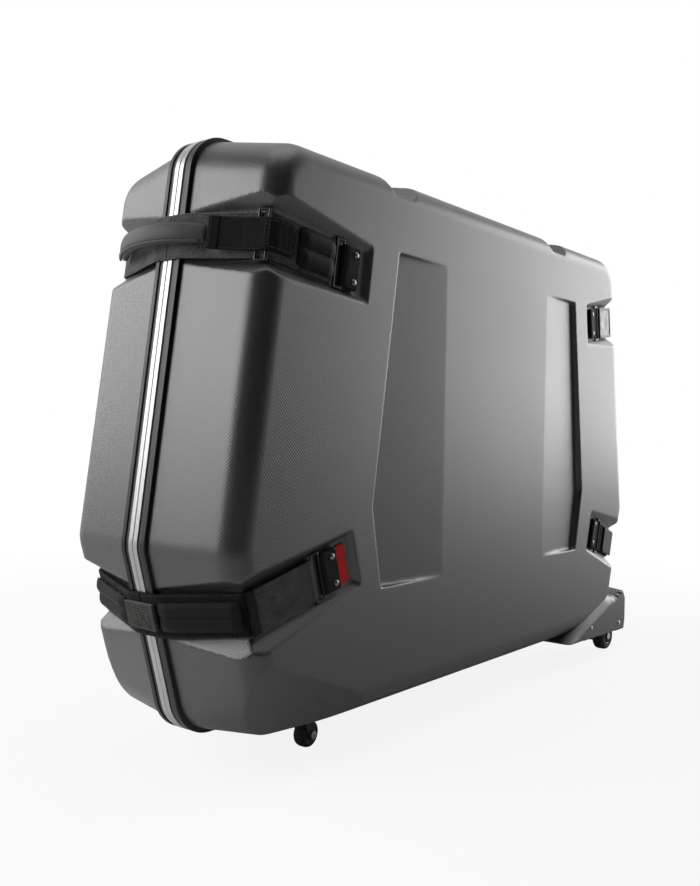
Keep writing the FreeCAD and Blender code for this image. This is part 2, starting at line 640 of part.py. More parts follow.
# Top straps: riveted at the shoulder, over the joint and onto a band on the left half.
top_share = "(top_tail_from - frame_width) / (half_thickness - frame_width)"
top_floor_at = f"{start_x} + ({top_x} - {start_x}) * {top_share}"
for edge in ("top_front", "top_rear"):
    frame = edges[edge].multiply(run_frame(plan_start, plan_top))
    steep = (plan_top - plan_start).Length / (S.half_thickness - S.frame_width)
    from_rim = (S.top_tail_from - S.frame_width) * steep + S.tail_gap
    anchors.append(anchor(f"{edge}_anchor", shifted(frame, from_rim), "top_anchor_thick", "top_width",
                          "top_anchor_length", False))
    heads += rivets(f"{edge}_rivet", frame, from_rim + S.top_anchor_length / 2, S.top_anchor_thick, S.top_spread)
    tail_line = [station(f"{top_floor_at} - {on_floor}", "-top_tail_from", -1, 0), at_rim(on_band),
                 past_joint(on_band, "tail_over")]
    keep(f"{edge}_tail", strip(f"{edge}_tail", edge, tail_line, "tail_thick", "top_width"))
    band_line = [at_joint(on_floor), at_rim(on_floor),
                 station(f"{top_floor_at} - {on_floor}", "-top_tail_from", -1, 0)]
    band = strip(f"{edge}_band", edge, band_line, "band_thick", "top_width")
    bands_left.append(mirror(f"{edge}_band_left", band, across_case))

keep("left_closing_bands", join("Compound", "left_closing_bands", bands_left))
keep_pair("anchors", join("Compound", "right_anchors", anchors))
keep_pair("rivets", join("Compound", "right_rivets", heads))


# Wheels and what they turn in.

def wheel(name, centre, kind):
    """Hub with a running bore, and the tyre round it, at a point."""
    half = f"{kind}_width / 2"
    length = f"{kind}_width"
    near = centre + V(0, sizes[f"{kind}_width"] / 2, 0)
    drum = rod(f"{name}_drum", f"{kind}_hub", length, near, -across_case)
    hub = cut(f"{name}_hub", drum, [rod(f"{name}_hub_bore", f"{kind}_axle + running", length, near, -across_case)])
    tyre = doc.addObject("PartDesign::Body", f"{name}_tyre")
    tread = [(f"{kind}_hub", f"-{half}"), (f"{kind}_radius - tread_bevel", f"-{half}"),
             (f"{kind}_radius", f"tread_bevel - {half}"), (f"{kind}_radius", f"{half} - tread_bevel"),
             (f"{kind}_radius - tread_bevel", half), (f"{kind}_hub", half)]
    turned = tyre.newObject("PartDesign::Revolution", f"{name}_tyre_turn")
    turned.Profile = draw(tyre, f"{name}_tread", "XY_Plane", tread)
    turned.ReferenceAxis = (turned.Profile[0], ["V_Axis"])
    place(tyre, FreeCAD.Placement(centre, FreeCAD.Rotation()))
    return hub, tyre


# Casters: plate with its king pin, fork on the pin, axle through the fork, wheel on the axle.
crown_top = S.pocket_top - S.plate_thick - S.clearance
pin_end = crown_top - S.crown_height - S.clearance
swivel = V(-S.caster_x, -S.caster_y, 0)
hub_at = swivel + V(S.caster_trail, 0, S.caster_radius)
top_plate = bind(doc.addObject("Part::Box", "caster_top_plate"), Length="plate_half * 2", Width="plate_across",
                 Height="plate_thick")
place(top_plate, FreeCAD.Placement(swivel + V(-S.plate_half, -S.plate_across / 2, S.pocket_top - S.plate_thick),
                                   FreeCAD.Rotation()))
king_top = swivel + V(0, 0, S.pocket_top - S.plate_thick)
king_length = "crown_height + clearance * 2"
king = rod("caster_king", "king_radius", king_length, king_top, -upwards)
king_head = rod("caster_king_head", "king_head", "king_head_height", swivel + V(0, 0, pin_end), -upwards)
keep_pair("caster_plate", join("MultiFuse", "right_caster_plate", [top_plate, king, king_head]))
crown = rod("caster_crown", "crown_radius", "crown_height", swivel + V(0, 0, crown_top), -upwards)
leg_top = "pocket_top - plate_thick - clearance"
axle_x = "(caster_trail - caster_x)"
leg_line = [("-(caster_x + leg_half)", leg_top), ("-(caster_x - leg_half)", leg_top),
            (f"{axle_x} + leg_half", "caster_radius"), (f"{axle_x} + leg_toe", "caster_radius - leg_half"),
            (f"{axle_x} - leg_toe", "caster_radius - leg_half"), (f"{axle_x} - leg_half", "caster_radius")]
far_leg = slab("caster_far_leg", "XZ_Plane", leg_line, "caster_y + caster_width / 2 + leg_gap", "leg_thick")
near_leg = slab("caster_near_leg", "XZ_Plane", leg_line, "caster_y - caster_width / 2 - leg_gap - leg_thick",
                "leg_thick")
axle_half = S.caster_width / 2 + S.leg_gap + S.leg_thick
axle_start = hub_at + V(0, axle_half, 0)
axle_length = "caster_width + (leg_gap + leg_thick) * 2"
axle_pin = rod("caster_axle_pin", "caster_axle", axle_length, axle_start, -across_case)
king_bore = rod("caster_king_bore", "king_radius + running", king_length, king_top, -upwards)
fork_form = join("MultiFuse", "caster_fork_form", [crown, far_leg, near_leg])
keep_pair("caster_fork", cut("right_caster_fork", fork_form, [king_bore, axle_pin]))
nuts = [rod("caster_inner_nut", "leg_toe", "bolt_height", axle_start, across_case),
        rod("caster_outer_nut", "leg_toe", "bolt_height", hub_at - V(0, axle_half, 0), -across_case)]
keep_pair("caster_axle", join("MultiFuse", "right_caster_axle", [axle_pin] + nuts))
hub, tyre = wheel("right_caster", hub_at, "caster")
keep_pair("caster_hub", hub)
keep_pair("caster_tyre", tyre)

# Rear wheels: housing with a well, an inner cheek that carries the axle, and the wheel on it.
cover_line = [("housing_front", "housing_low - housing_seam"), ("housing_rear", "housing_high - housing_seam"),
              ("housing_rear + bulge_reach", "housing_bulge_z"), ("housing_rear + bulge_reach", "housing_heel_z"),
              ("housing_rear + foot_reach", "housing_foot_z"),
              ("housing_front + belly_reach", "housing_belly_z"),
              ("housing_front + housing_nose", "base_height")]
cover_depth = "half_thickness + housing_proud - housing_inner"
cover = slab("housing_cover", "XZ_Plane", cover_line, "housing_inner", cover_depth)
cheek_line = [("wheel_x - cheek_half", "housing_heel_z"), ("wheel_x + cheek_half", "housing_heel_z"),
              ("wheel_x + cheek_half", "housing_foot_z - cheek_toe"),
              ("wheel_x + cheek_toe", "wheel_radius - cheek_toe"),
              ("wheel_x - cheek_toe", "wheel_radius - cheek_toe"),
              ("wheel_x - cheek_half", "housing_foot_z - cheek_toe")]
cheek = slab("housing_cheek", "XZ_Plane", cheek_line, "housing_inner", "cheek_thick")
wheel_at = V(S.wheel_x, -S.wheel_y, S.wheel_radius)
well_start = wheel_at + V(0, S.wheel_width / 2 + S.wheel_side_room, 0)
well_length = "wheel_width + wheel_side_room * 2"
well = rod("housing_well", "wheel_radius + wheel_room", well_length, well_start, -across_case)
axle_root = V(S.wheel_x, -S.housing_inner, S.wheel_radius)
spindle = rod("wheel_spindle", "wheel_axle", "wheel_y + wheel_width / 2 + clearance - housing_inner", axle_root,
              -across_case)
housing_form = join("MultiFuse", "housing_form", [cover, cheek])
hollow_top = f"housing_low - housing_seam - hollow_wall + {seam_slope}"
hollow_line = [("housing_front + hollow_front", "base_height + hollow_wall"),
               ("housing_front + hollow_rear", "base_height + hollow_wall"),
               ("housing_front + hollow_rear", f"{hollow_top} * hollow_rear"),
               ("housing_front + hollow_front", f"{hollow_top} * hollow_front")]
hollow = slab("housing_hollow", "XZ_Plane", hollow_line, "housing_inner - overrun",
              "half_thickness - housing_inner + overrun - hollow_wall")
keep_pair("wheel_housing", cut("right_wheel_housing", housing_form, [well, spindle, hollow]))
spindle_head = rod("wheel_spindle_head", "axle_head", "axle_head_height",
                   wheel_at - V(0, S.wheel_width / 2 + S.clearance, 0), -across_case)
keep_pair("wheel_axle", join("MultiFuse", "right_wheel_axle", [spindle, spindle_head]))
hub, tyre = wheel("right_wheel", wheel_at, "wheel")
keep_pair("wheel_hub", hub)
keep_pair("wheel_tyre", tyre)

# Bolts of the caster plates and screws of the wheel housings.
fasteners = [rod(f"caster_bolt_{i}", "bolt_radius", "bolt_height", king_top + V(side * S.bolt_at, 0, 0), -upwards)
             for i, side in enumerate((-1, 1))]
fasteners += [rod(f"housing_screw_{i}", "bolt_radius", "bolt_height",
                  V(x, -(S.half_thickness + S.housing_proud), z), -across_case)
              for i, (x, z) in enumerate(((S.screw_x, S.screw_z), (S.screw_front_x, S.screw_front_z)))]
keep_pair("bolts", join("Compound", "right_bolts", fasteners))

# Lining: a foam sheet on each side panel, and two straps over the right one.
foam_back = "half_thickness - panel_depth - wall - clearance"
foam_line = [("-foam_front", "foam_low"), ("foam_rear", "foam_low"), ("foam_rear", "top_height - foam_drop"),
             ("-foam_front", "top_height - foam_drop")]
keep_pair("foam", slab("right_foam", "XZ_Plane", foam_line, f"{foam_back} - foam_thick", "foam_thick"))
ties = []
for i, side in enumerate((-1, 1)):
    tie_ends = ((-1, "tie_low"), (1, "tie_low"), (1, "top_height - tie_drop"), (-1, "top_height - tie_drop"))
    tie_line = [(f"{side} * tie_at + {wide} * tie_width / 2", height) for wide, height in tie_ends]
    ties.append(slab(f"tie_strap_{i}", "XZ_Plane", tie_line, f"{foam_back} - foam_thick - tie_thick", "tie_thick"))
keep("tie_straps", join("Compound", "tie_straps", ties))


doc.recompute()
failed = [item.Name for item in doc.Objects if "Invalid" in item.State or "Error" in item.State]
failed += [node for node, item in parts.items() if item.Shape.isNull() or not item.Shape.isValid()]
if failed:
    raise SystemExit(f"failed: {failed}")
os.makedirs("parts", exist_ok=True)
for node, item in parts.items():
    item.Shape.exportStep(f"parts/{node}.step")
    box = item.Shape.optimalBoundingBox(False)
    print(f"{node}: {len(item.Shape.Solids)} solids, {item.Shape.Volume / 1000:.1f} ml,",
          f"x {box.XMin:.1f} {box.XMax:.1f}, y {box.YMin:.1f} {box.YMax:.1f}, z {box.ZMin:.1f} {box.ZMax:.1f}")
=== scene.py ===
import math

import bmesh
import bpy
import numpy as np
from mathutils import Matrix, Vector
from mathutils.bvhtree import BVHTree


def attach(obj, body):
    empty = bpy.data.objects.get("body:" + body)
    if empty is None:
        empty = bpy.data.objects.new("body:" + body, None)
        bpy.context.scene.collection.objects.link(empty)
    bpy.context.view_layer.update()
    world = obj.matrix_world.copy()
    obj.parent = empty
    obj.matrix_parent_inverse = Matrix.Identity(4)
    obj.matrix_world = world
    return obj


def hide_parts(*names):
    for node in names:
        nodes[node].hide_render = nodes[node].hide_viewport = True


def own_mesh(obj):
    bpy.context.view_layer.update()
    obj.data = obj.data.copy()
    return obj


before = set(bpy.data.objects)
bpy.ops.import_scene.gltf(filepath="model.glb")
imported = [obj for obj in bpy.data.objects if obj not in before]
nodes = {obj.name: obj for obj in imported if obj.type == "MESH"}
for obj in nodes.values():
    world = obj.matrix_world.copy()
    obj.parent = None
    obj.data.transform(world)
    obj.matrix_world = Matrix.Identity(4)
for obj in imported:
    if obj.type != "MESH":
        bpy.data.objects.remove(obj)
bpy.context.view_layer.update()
scene = bpy.context.scene
mm = 0.001
print("frame:", len(nodes), "nodes")

# camera at the photo's angle

cameraSet = {
    "place": (-1.374, -0.9483, 0.4578),
    "yaw": 51.711,  # degrees from +Y towards +X
    "pitch": -0.562,
    "roll": 1.06,
    "lens": 37.885,
    "sensor": 36,  # along the picture's height
}


def addCamera():
    yaw, pitch, roll = (math.radians(cameraSet[k]) for k in ("yaw", "pitch", "roll"))
    ahead = Vector((math.sin(yaw) * math.cos(pitch), math.cos(yaw) * math.cos(pitch), math.sin(pitch)))
    level = Vector((math.cos(yaw), -math.sin(yaw), 0))
    upright = level.cross(ahead)
    right = level * math.cos(roll) + upright * math.sin(roll)
    up = upright * math.cos(roll) - level * math.sin(roll)
    data = bpy.data.cameras.new("photoCamera")
    data.sensor_width = cameraSet["sensor"]
    data.sensor_fit = "AUTO"
    data.lens = cameraSet["lens"]
    data.clip_end = 60
    cam = bpy.data.objects.new("photoCamera", data)
    turn = Matrix((right, up, -ahead)).transposed().to_4x4()
    cam.matrix_world = Matrix.Translation(cameraSet["place"]) @ turn
    scene.collection.objects.link(cam)
    scene.camera = cam


addCamera()
print("camera set")

# short helpers for node trees


def newMaterial(name):
    mat = bpy.data.materials.new(name)
    mat.use_nodes = True
    tree = mat.node_tree
    return mat, tree, tree.nodes["Principled BSDF"]


def feed(socket, value):
    if isinstance(value, bpy.types.NodeSocket):
        socket.id_data.links.new(value, socket)
    else:
        socket.default_value = value


def put(tree, kind, values=None, **settings):
    node = tree.nodes.new("ShaderNode" + kind)
    for key, value in settings.items():
        setattr(node, key, value)
    for key, value in (values or {}).items():
        feed(node.inputs[key], value)
    return node


def calc(tree, operation, *values):
    return put(tree, "Math", dict(enumerate(values)), operation=operation).outputs[0]


def scaled(tree, value, factor, rest):
    return calc(tree, "MULTIPLY_ADD", value, factor, rest)


def ramp(tree, factor, *stops):
    node = put(tree, "ValToRGB", {"Fac": factor})
    while len(node.color_ramp.elements) < len(stops):
        node.color_ramp.elements.new(0.5)
    for element, (place, colour) in zip(node.color_ramp.elements, stops):
        element.position = place
        element.color = (*colour, 1)
    return node.outputs["Color"]


def grey(value, warm=0.0):
    return (value * (1 + warm), value, value * (1 - warm))


def setBsdf(bsdf, **values):
    for key, value in values.items():
        feed(bsdf.inputs[key.replace("_", " ")], value)


def bump(tree, bsdf, height, depth):
    relief = put(tree, "Bump", {"Height": height, "Distance": depth, "Strength": 1.0})
    setBsdf(bsdf, Normal=relief.outputs["Normal"])


def objectPoint(tree):
    return put(tree, "TexCoord").outputs["Object"]


def noise(tree, point, scale, detail=3.0):
    return put(tree, "TexNoise", {"Vector": point, "Scale": scale, "Detail": detail}).outputs[0]


def split(tree, vector):
    return put(tree, "SeparateXYZ", {"Vector": vector}).outputs


def wave(tree, value, pitch):
    return calc(tree, "SINE", calc(tree, "MULTIPLY", value, 2 * math.pi / pitch))


# moulded plastic: dark charcoal, with a fine diagonal grain pressed into the shells

shellPlastic = {"dark": grey(0.014), "pale": grey(0.022), "rough": 0.40, "pitch": 5.0 * mm,
                "depth": 0.09 * mm, "gloss": 1.0}
liningPlastic = {"dark": grey(0.016), "pale": grey(0.024), "rough": 0.6, "pitch": None, "depth": 0.05 * mm,
                 "gloss": 0.5}
housingPlastic = {"dark": grey(0.018), "pale": grey(0.028), "rough": 0.4, "pitch": None, "depth": 0.04 * mm,
                  "gloss": 1.0}


def twill(tree, point, pitch):
    place = split(tree, point)
    facing = split(tree, put(tree, "NewGeometry").outputs["Normal"])
    onSide = calc(tree, "GREATER_THAN", calc(tree, "ABSOLUTE", facing[1]), 0.6)
    onTop = calc(tree, "GREATER_THAN", calc(tree, "ABSOLUTE", facing[2]), 0.75)
    level = put(tree, "Mix", {0: onSide, 2: place[1], 3: place[0]}).outputs[0]
    level = put(tree, "Mix", {0: onTop, 2: level, 3: place[0]}).outputs[0]
    height = put(tree, "Mix", {0: onTop, 2: place[2], 3: place[1]}).outputs[0]
    rising = wave(tree, calc(tree, "ADD", level, height), pitch)
    falling = wave(tree, calc(tree, "SUBTRACT", level, height), pitch)
    return calc(tree, "MULTIPLY", rising, scaled(tree, falling, 0.4, 0.6))


plasticGrain = {"clouds": 5.0, "cloudShare": 0.7, "specks": 1500.0, "speckShare": 0.3, "twillShare": 0.35}


def makePlastic(name, look):
    mat, tree, bsdf = newMaterial(name)
    point = objectPoint(tree)
    clouds = noise(tree, point, plasticGrain["clouds"], 4.0)
    specks = noise(tree, point, plasticGrain["specks"], 2.0)
    share = plasticGrain["speckShare"]
    tone = scaled(tree, specks, share, calc(tree, "MULTIPLY", clouds, plasticGrain["cloudShare"]))
    relief = specks
    if look["pitch"]:
        grain = twill(tree, point, look["pitch"])
        tone = scaled(tree, grain, plasticGrain["twillShare"], tone)
        relief = scaled(tree, specks, share, grain)
    rough = scaled(tree, clouds, 0.08, look["rough"] - 0.06)
    setBsdf(bsdf, Base_Color=ramp(tree, tone, (0.3, look["dark"]), (0.7, look["pale"])),
            Roughness=scaled(tree, specks, 0.05, rough), Specular_IOR_Level=look["gloss"])
    bump(tree, bsdf, relief, look["depth"])
    return mat


# the outer rib's colour is painted shade on the same metal as the bright middle
barMetal = {"bright": grey(0.44), "dull": grey(0.30), "rough": 0.40, "rib": 15 * mm, "ribPaintedShade": grey(0.04),
            "stretch": (3.0, 800.0, 3.0)}
wireMetal = {"bright": grey(0.07), "dull": grey(0.035), "rough": 0.36, "stretch": (900.0, 900.0, 900.0)}
rivetMetal = {"bright": grey(0.26), "dull": grey(0.14), "rough": 0.32, "stretch": (700.0, 700.0, 700.0)}
boltMetal = {"bright": grey(0.78, 0.02), "dull": grey(0.55, 0.03), "rough": 0.26,
             "stretch": (600.0, 600.0, 600.0)}
casterMetal = {"bright": grey(0.035), "dull": grey(0.015), "rough": 0.4, "stretch": (500.0, 500.0, 500.0)}


metalGrain = {"lineShare": 0.75, "marks": 40.0, "markShare": 0.25, "depth": 0.015 * mm}


def makeMetal(name, look, metallic=1.0):
    mat, tree, bsdf = newMaterial(name)
    point = objectPoint(tree)
    drawn = put(tree, "Mapping", {"Vector": point, "Scale": look["stretch"]}).outputs[0]
    lines = noise(tree, drawn, 1.0)
    marks = noise(tree, point, metalGrain["marks"], 5.0)
    tone = scaled(tree, marks, metalGrain["markShare"],
                  calc(tree, "MULTIPLY", lines, metalGrain["lineShare"]))
    shade = ramp(tree, tone, (0.32, look["dull"]), (0.6, look["bright"]))
    if "rib" in look:  # painted shade: the outer rib is the same metal, coloured darker than the grooved middle
        shadedRibMask = calc(tree, "GREATER_THAN", calc(tree, "ABSOLUTE", split(tree, point)[1]), look["rib"])
        shade = put(tree, "Mix", {0: shadedRibMask, 6: shade, 7: (*look["ribPaintedShade"], 1)},
                    data_type="RGBA").outputs[2]
    setBsdf(bsdf, Base_Color=shade, Roughness=scaled(tree, marks, 0.1, look["rough"] - 0.05),
            Metallic=metallic)
    bump(tree, bsdf, lines, metalGrain["depth"])
    return mat


rubberGrain = {"fineShare": 0.4, "dust": 25.0, "dustShare": 0.6, "roughSpread": 0.16}
stripRubber = {"dark": grey(0.010), "pale": grey(0.02), "rough": 0.5, "grain": 900.0, "depth": 0.04 * mm}
tyreRubber = {"dark": grey(0.014), "pale": grey(0.026), "rough": 0.62, "grain": 700.0, "depth": 0.06 * mm}
hubPlastic = {"dark": grey(0.075), "pale": grey(0.115), "rough": 0.4, "grain": 1200.0, "depth": 0.03 * mm}
platePlastic = {"dark": grey(0.012), "pale": grey(0.018), "rough": 0.34, "grain": 1600.0, "depth": 0.02 * mm,
                "gloss": 0.12}
foamSheet = {"dark": grey(0.03), "pale": grey(0.075), "rough": 0.95, "grain": 420.0, "depth": 0.5 * mm}


def makeRubber(name, look):
    mat, tree, bsdf = newMaterial(name)
    point = objectPoint(tree)
    fine = noise(tree, point, look["grain"])
    dust = noise(tree, point, rubberGrain["dust"], 5.0)
    tone = scaled(tree, fine, rubberGrain["fineShare"],
                  calc(tree, "MULTIPLY", dust, rubberGrain["dustShare"]))
    spread = rubberGrain["roughSpread"]
    setBsdf(bsdf, Base_Color=ramp(tree, tone, (0.35, look["dark"]), (0.65, look["pale"])),
            Roughness=scaled(tree, fine, spread, look["rough"] - spread / 2),
            Specular_IOR_Level=look.get("gloss", 0.5))
    bump(tree, bsdf, fine, look["depth"])
    return mat


# woven and napped goods; "lay" is the place along and across the strap, in metres

blackWebbing = {"dark": grey(0.003), "pale": grey(0.014), "rough": 0.7, "sheen": 0.05, "warp": 1.1 * mm,
                "weft": 1.6 * mm, "fuzz": 900.0, "depth": 0.16 * mm}
greyWebbing = {"dark": (0.024, 0.026, 0.024), "pale": (0.120, 0.126, 0.114), "rough": 0.66, "sheen": 0.05,
               "warp": 2.9 * mm, "weft": 0.9 * mm, "fuzz": 900.0, "depth": 0.2 * mm}
loopNap = {"dark": grey(0.025), "pale": grey(0.20), "rough": 0.9, "sheen": 0.12, "warp": 1.7 * mm,
           "weft": 1.9 * mm, "fuzz": 520.0, "depth": 0.5 * mm}
blackNap = {"dark": grey(0.004), "pale": grey(0.022), "rough": 0.9, "sheen": 0.06, "warp": 1.5 * mm,
            "weft": 1.7 * mm, "fuzz": 560.0, "depth": 0.5 * mm}
redTape = {"dark": (0.50, 0.010, 0.014), "pale": (0.70, 0.018, 0.024), "rough": 0.6, "sheen": 0.04,
           "warp": 0.7 * mm, "weft": 0.9 * mm, "fuzz": 1100.0, "depth": 0.08 * mm}


def makeWoven(name, look):
    mat, tree, bsdf = newMaterial(name)
    lay = put(tree, "Attribute", attribute_name="lay").outputs["Vector"]
    along, across = split(tree, lay)[0:2]
    fuzz = noise(tree, objectPoint(tree), look["fuzz"], 4.0)
    patches = noise(tree, objectPoint(tree), 45.0, 3.0)
    beat = scaled(tree, wave(tree, along, look["weft"]), 0.4, 0.6)
    threads = calc(tree, "MULTIPLY", wave(tree, across, look["warp"]), beat)
    napped = look["rough"] > 0.8
    height = scaled(tree, threads, 0.12 if napped else 0.4, fuzz)
    tone = scaled(tree, patches, 0.35, scaled(tree, height, 0.6, -0.05))
    setBsdf(bsdf, Base_Color=ramp(tree, tone, (0.28, look["dark"]), (0.72, look["pale"])),
            Roughness=look["rough"], Sheen_Weight=look["sheen"], Sheen_Roughness=0.5, Specular_IOR_Level=0.12)
    bump(tree, bsdf, height, look["depth"])
    return mat


padCloth = {"dark": grey(0.003), "pale": grey(0.008), "rough": 0.72, "grain": 1300.0, "pores": 0.0,
            "depth": 0.06 * mm}
rollSkin = {"dark": grey(0.028), "pale": grey(0.075), "rough": 0.52, "grain": 620.0, "pores": 0.6,
            "depth": 0.16 * mm}
threadTwist = {"dark": grey(0.02), "pale": grey(0.06), "rough": 0.6, "grain": 2500.0, "pores": 0.0,
               "depth": 0.05 * mm}
paleThread = {"dark": grey(0.05), "pale": grey(0.11), "rough": 0.6, "grain": 2500.0, "pores": 0.0,
              "depth": 0.05 * mm}


def makeSkin(name, look):
    mat, tree, bsdf = newMaterial(name)
    point = objectPoint(tree)
    cells = put(tree, "TexVoronoi", {"Vector": point, "Scale": look["grain"]}).outputs["Distance"]
    fine = noise(tree, point, look["grain"] * 1.6)
    patches = noise(tree, point, 30.0, 4.0)
    relief = scaled(tree, cells, look["pores"], fine)
    tone = scaled(tree, patches, 0.5, calc(tree, "MULTIPLY", relief, 0.5))
    setBsdf(bsdf, Base_Color=ramp(tree, tone, (0.3, look["dark"]), (0.75, look["pale"])),
            Roughness=scaled(tree, fine, 0.2, look["rough"] - 0.1),
            Sheen_Weight=0.04, Sheen_Roughness=0.5, Specular_IOR_Level=0.18)
    bump(tree, bsdf, relief, look["depth"])
    return mat


windowFilm = {"tint": grey(0.34), "smear": grey(0.16), "rough": 0.26, "seeThrough": 0.15, "bend": 1.15,
              "smears": 60.0, "depth": 0.2 * mm}


def makeFilm(name, look):
    mat, tree, bsdf = newMaterial(name)
    smears = noise(tree, objectPoint(tree), look["smears"], 4.0)
    setBsdf(bsdf, Base_Color=ramp(tree, smears, (0.3, look["smear"]), (0.7, look["tint"])),
            Roughness=scaled(tree, smears, 0.12, look["rough"] - 0.06),
            Transmission_Weight=look["seeThrough"], IOR=look["bend"])
    bump(tree, bsdf, smears, look["depth"])
    return mat


finish = {
    "shell": makePlastic("shellPlastic", shellPlastic), "lining": makePlastic("shellInside", liningPlastic),
    "housing": makePlastic("housingPlastic", housingPlastic), "bar": makeMetal("barMetal", barMetal),
    "wire": makeMetal("wireMetal", wireMetal), "rivet": makeMetal("rivetMetal", rivetMetal),
    "bolt": makeMetal("boltMetal", boltMetal), "caster": makeMetal("casterPaint", casterMetal, 0.0),
    "strip": makeRubber("stripRubber", stripRubber), "tyre": makeRubber("tyreRubber", tyreRubber),
    "hub": makeRubber("hubPlastic", hubPlastic), "plate": makeRubber("platePlastic", platePlastic),
    "foam": makeRubber("foamSheet", foamSheet), "webbing": makeWoven("blackWebbing", blackWebbing),
    "ribbed": makeWoven("greyWebbing", greyWebbing), "loop": makeWoven("loopNap", loopNap),
    "nap": makeWoven("blackNap", blackNap), "tape": makeWoven("redTape", redTape),
    "pad": makeSkin("padCloth", padCloth), "roll": makeSkin("rollSkin", rollSkin),
    "thread": makeSkin("threadTwist", threadTwist), "paleThread": makeSkin("paleThread", paleThread),
    "film": makeFilm("windowFilm", windowFilm),
}
print("materials:", len(finish))

# mesh helpers


def meshObject(name, mesh):
    obj = bpy.data.objects.new(name, mesh)
    scene.collection.objects.link(obj)
    return obj


def unit(v):
    return v / np.linalg.norm(v, axis=-1, keepdims=True)


def fromBmesh(name, bm):
    mesh = bpy.data.meshes.new(name)
    bm.to_mesh(mesh)
    bm.free()
    return meshObject(name, mesh)


def builtObject(name, verts, faces, lay=None, tidy=True, weld=None):
    mesh = bpy.data.meshes.new(name)
    mesh.from_pydata([tuple(v) for v in verts], [], faces)
    if lay is not None:
        stored = mesh.attributes.new("lay", "FLOAT_VECTOR", "POINT")
        stored.data.foreach_set("vector", np.ravel(lay).astype("f"))
    if tidy:
        bm = bmesh.new()
        bm.from_mesh(mesh)
        bmesh.ops.recalc_face_normals(bm, faces=bm.faces)
        if weld:
            bmesh.ops.remove_doubles(bm, verts=bm.verts, dist=weld)
            bmesh.ops.recalc_face_normals(bm, faces=bm.faces)
        bmesh.ops.delete(bm, geom=[v for v in bm.verts if not v.link_faces], context="VERTS")
        bm.to_mesh(mesh)
        bm.free()
    return meshObject(name, mesh)


def ringFaces(rings, sides, base=0, closed=False):
    def at(i, k):
        return base + i % rings * sides + k % sides
    return [(at(i, k), at(i, k + 1), at(i + 1, k + 1), at(i + 1, k))
            for i in range(rings if closed else rings - 1) for k in range(sides)]


def ringPoints(middle, radius, a, b, sides):
    turns = [2 * math.pi * k / sides for k in range(sides)]
    return [middle + radius * (a * math.cos(t) + b * math.sin(t)) for t in turns]


def baked(obj):
    bpy.context.view_layer.update()
    mesh = bpy.data.meshes.new_from_object(obj.evaluated_get(bpy.context.evaluated_depsgraph_get()))
    obj.modifiers.clear()
    obj.data = mesh
    return obj


def smoothShade(obj, angle=None):
    obj.data.polygons.foreach_set("use_smooth", [True] * len(obj.data.polygons))
    if angle is not None:
        obj.data.set_sharp_from_angle(angle=math.radians(angle))
    return obj


def joined(name, pieces):
    verts, faces, lays = [], [], []
    for obj in pieces:
        start = len(verts)
        verts += [tuple(v.co) for v in obj.data.vertices]
        faces += [tuple(start + i for i in p.vertices) for p in obj.data.polygons]
        lay = obj.data.attributes.get("lay")
        lays += [tuple(d.vector) for d in lay.data] if lay else [tuple(v.co) for v in obj.data.vertices]
        bpy.data.objects.remove(obj)
    return builtObject(name, verts, faces, lays, tidy=False)


def mirrored(obj, name):
    mesh = obj.data.copy()
    mesh.transform(Matrix.Scale(-1, 4, (0, 1, 0)))
    mesh.flip_normals()
    return meshObject(name, mesh)


def dress(obj, look, body, slot, *stands, angle=None, smooth=True):
    if look:
        obj.data.materials.clear()
        obj.data.materials.append(finish[look])
    if smooth:
        smoothShade(obj, angle)
    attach(obj, body)
    if stands:
        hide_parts(*stands)
    return obj


def dressPair(obj, leftName, look, slot, node, body="half", **shade):
    dress(obj, look, "right_" + body, slot, *(["right_" + node] if node else []), **shade)
    twin = mirrored(obj, leftName)
    dress(twin, look, "left_" + body, slot, *(["left_" + node] if node else []), **shade)
    return obj, twin


def cadCopy(node):
    bm = bmesh.new()
    bm.from_mesh(nodes[node].data)
    bmesh.ops.remove_doubles(bm, verts=bm.verts, dist=2e-6)
    return bm


def softened(name, bm, voxel, rounding, keep=1.0):
    obj = fromBmesh(name, bm)
    grid = obj.modifiers.new("grid", "REMESH")
    grid.mode = "VOXEL"
    grid.voxel_size = voxel
    ease = obj.modifiers.new("ease", "SMOOTH")
    ease.factor = 0.5
    ease.iterations = rounding
    baked(obj)
    if keep < 1:
        obj.modifiers.new("fewer", "DECIMATE").ratio = keep
        baked(obj)
    return obj


def refined(obj):
    ease = obj.modifiers.new("fine", "SUBSURF")
    ease.levels = ease.render_levels = 1
    return baked(obj)


# half shells: the CAD skin with the soft edges of a formed sheet

shellForm = {"voxel": 2.5 * mm, "rounding": 6, "rim": 23 * mm, "rimTail": 16 * mm, "keep": 0.3,
             "liningRoom": 2 * mm, "liningFrom": 12 * mm}


def outerSkin(bm, rim):
    flat = {f for f in bm.faces if all(abs(v.co.y - rim) < 1e-5 for v in f.verts)}
    start = min(bm.faces, key=lambda f: f.calc_center_median().y)
    found, queue = {start}, [start]
    while queue:
        for edge in queue.pop().edges:
            for face in edge.link_faces:
                if face not in found and face not in flat:
                    found.add(face)
                    queue.append(face)
    return found


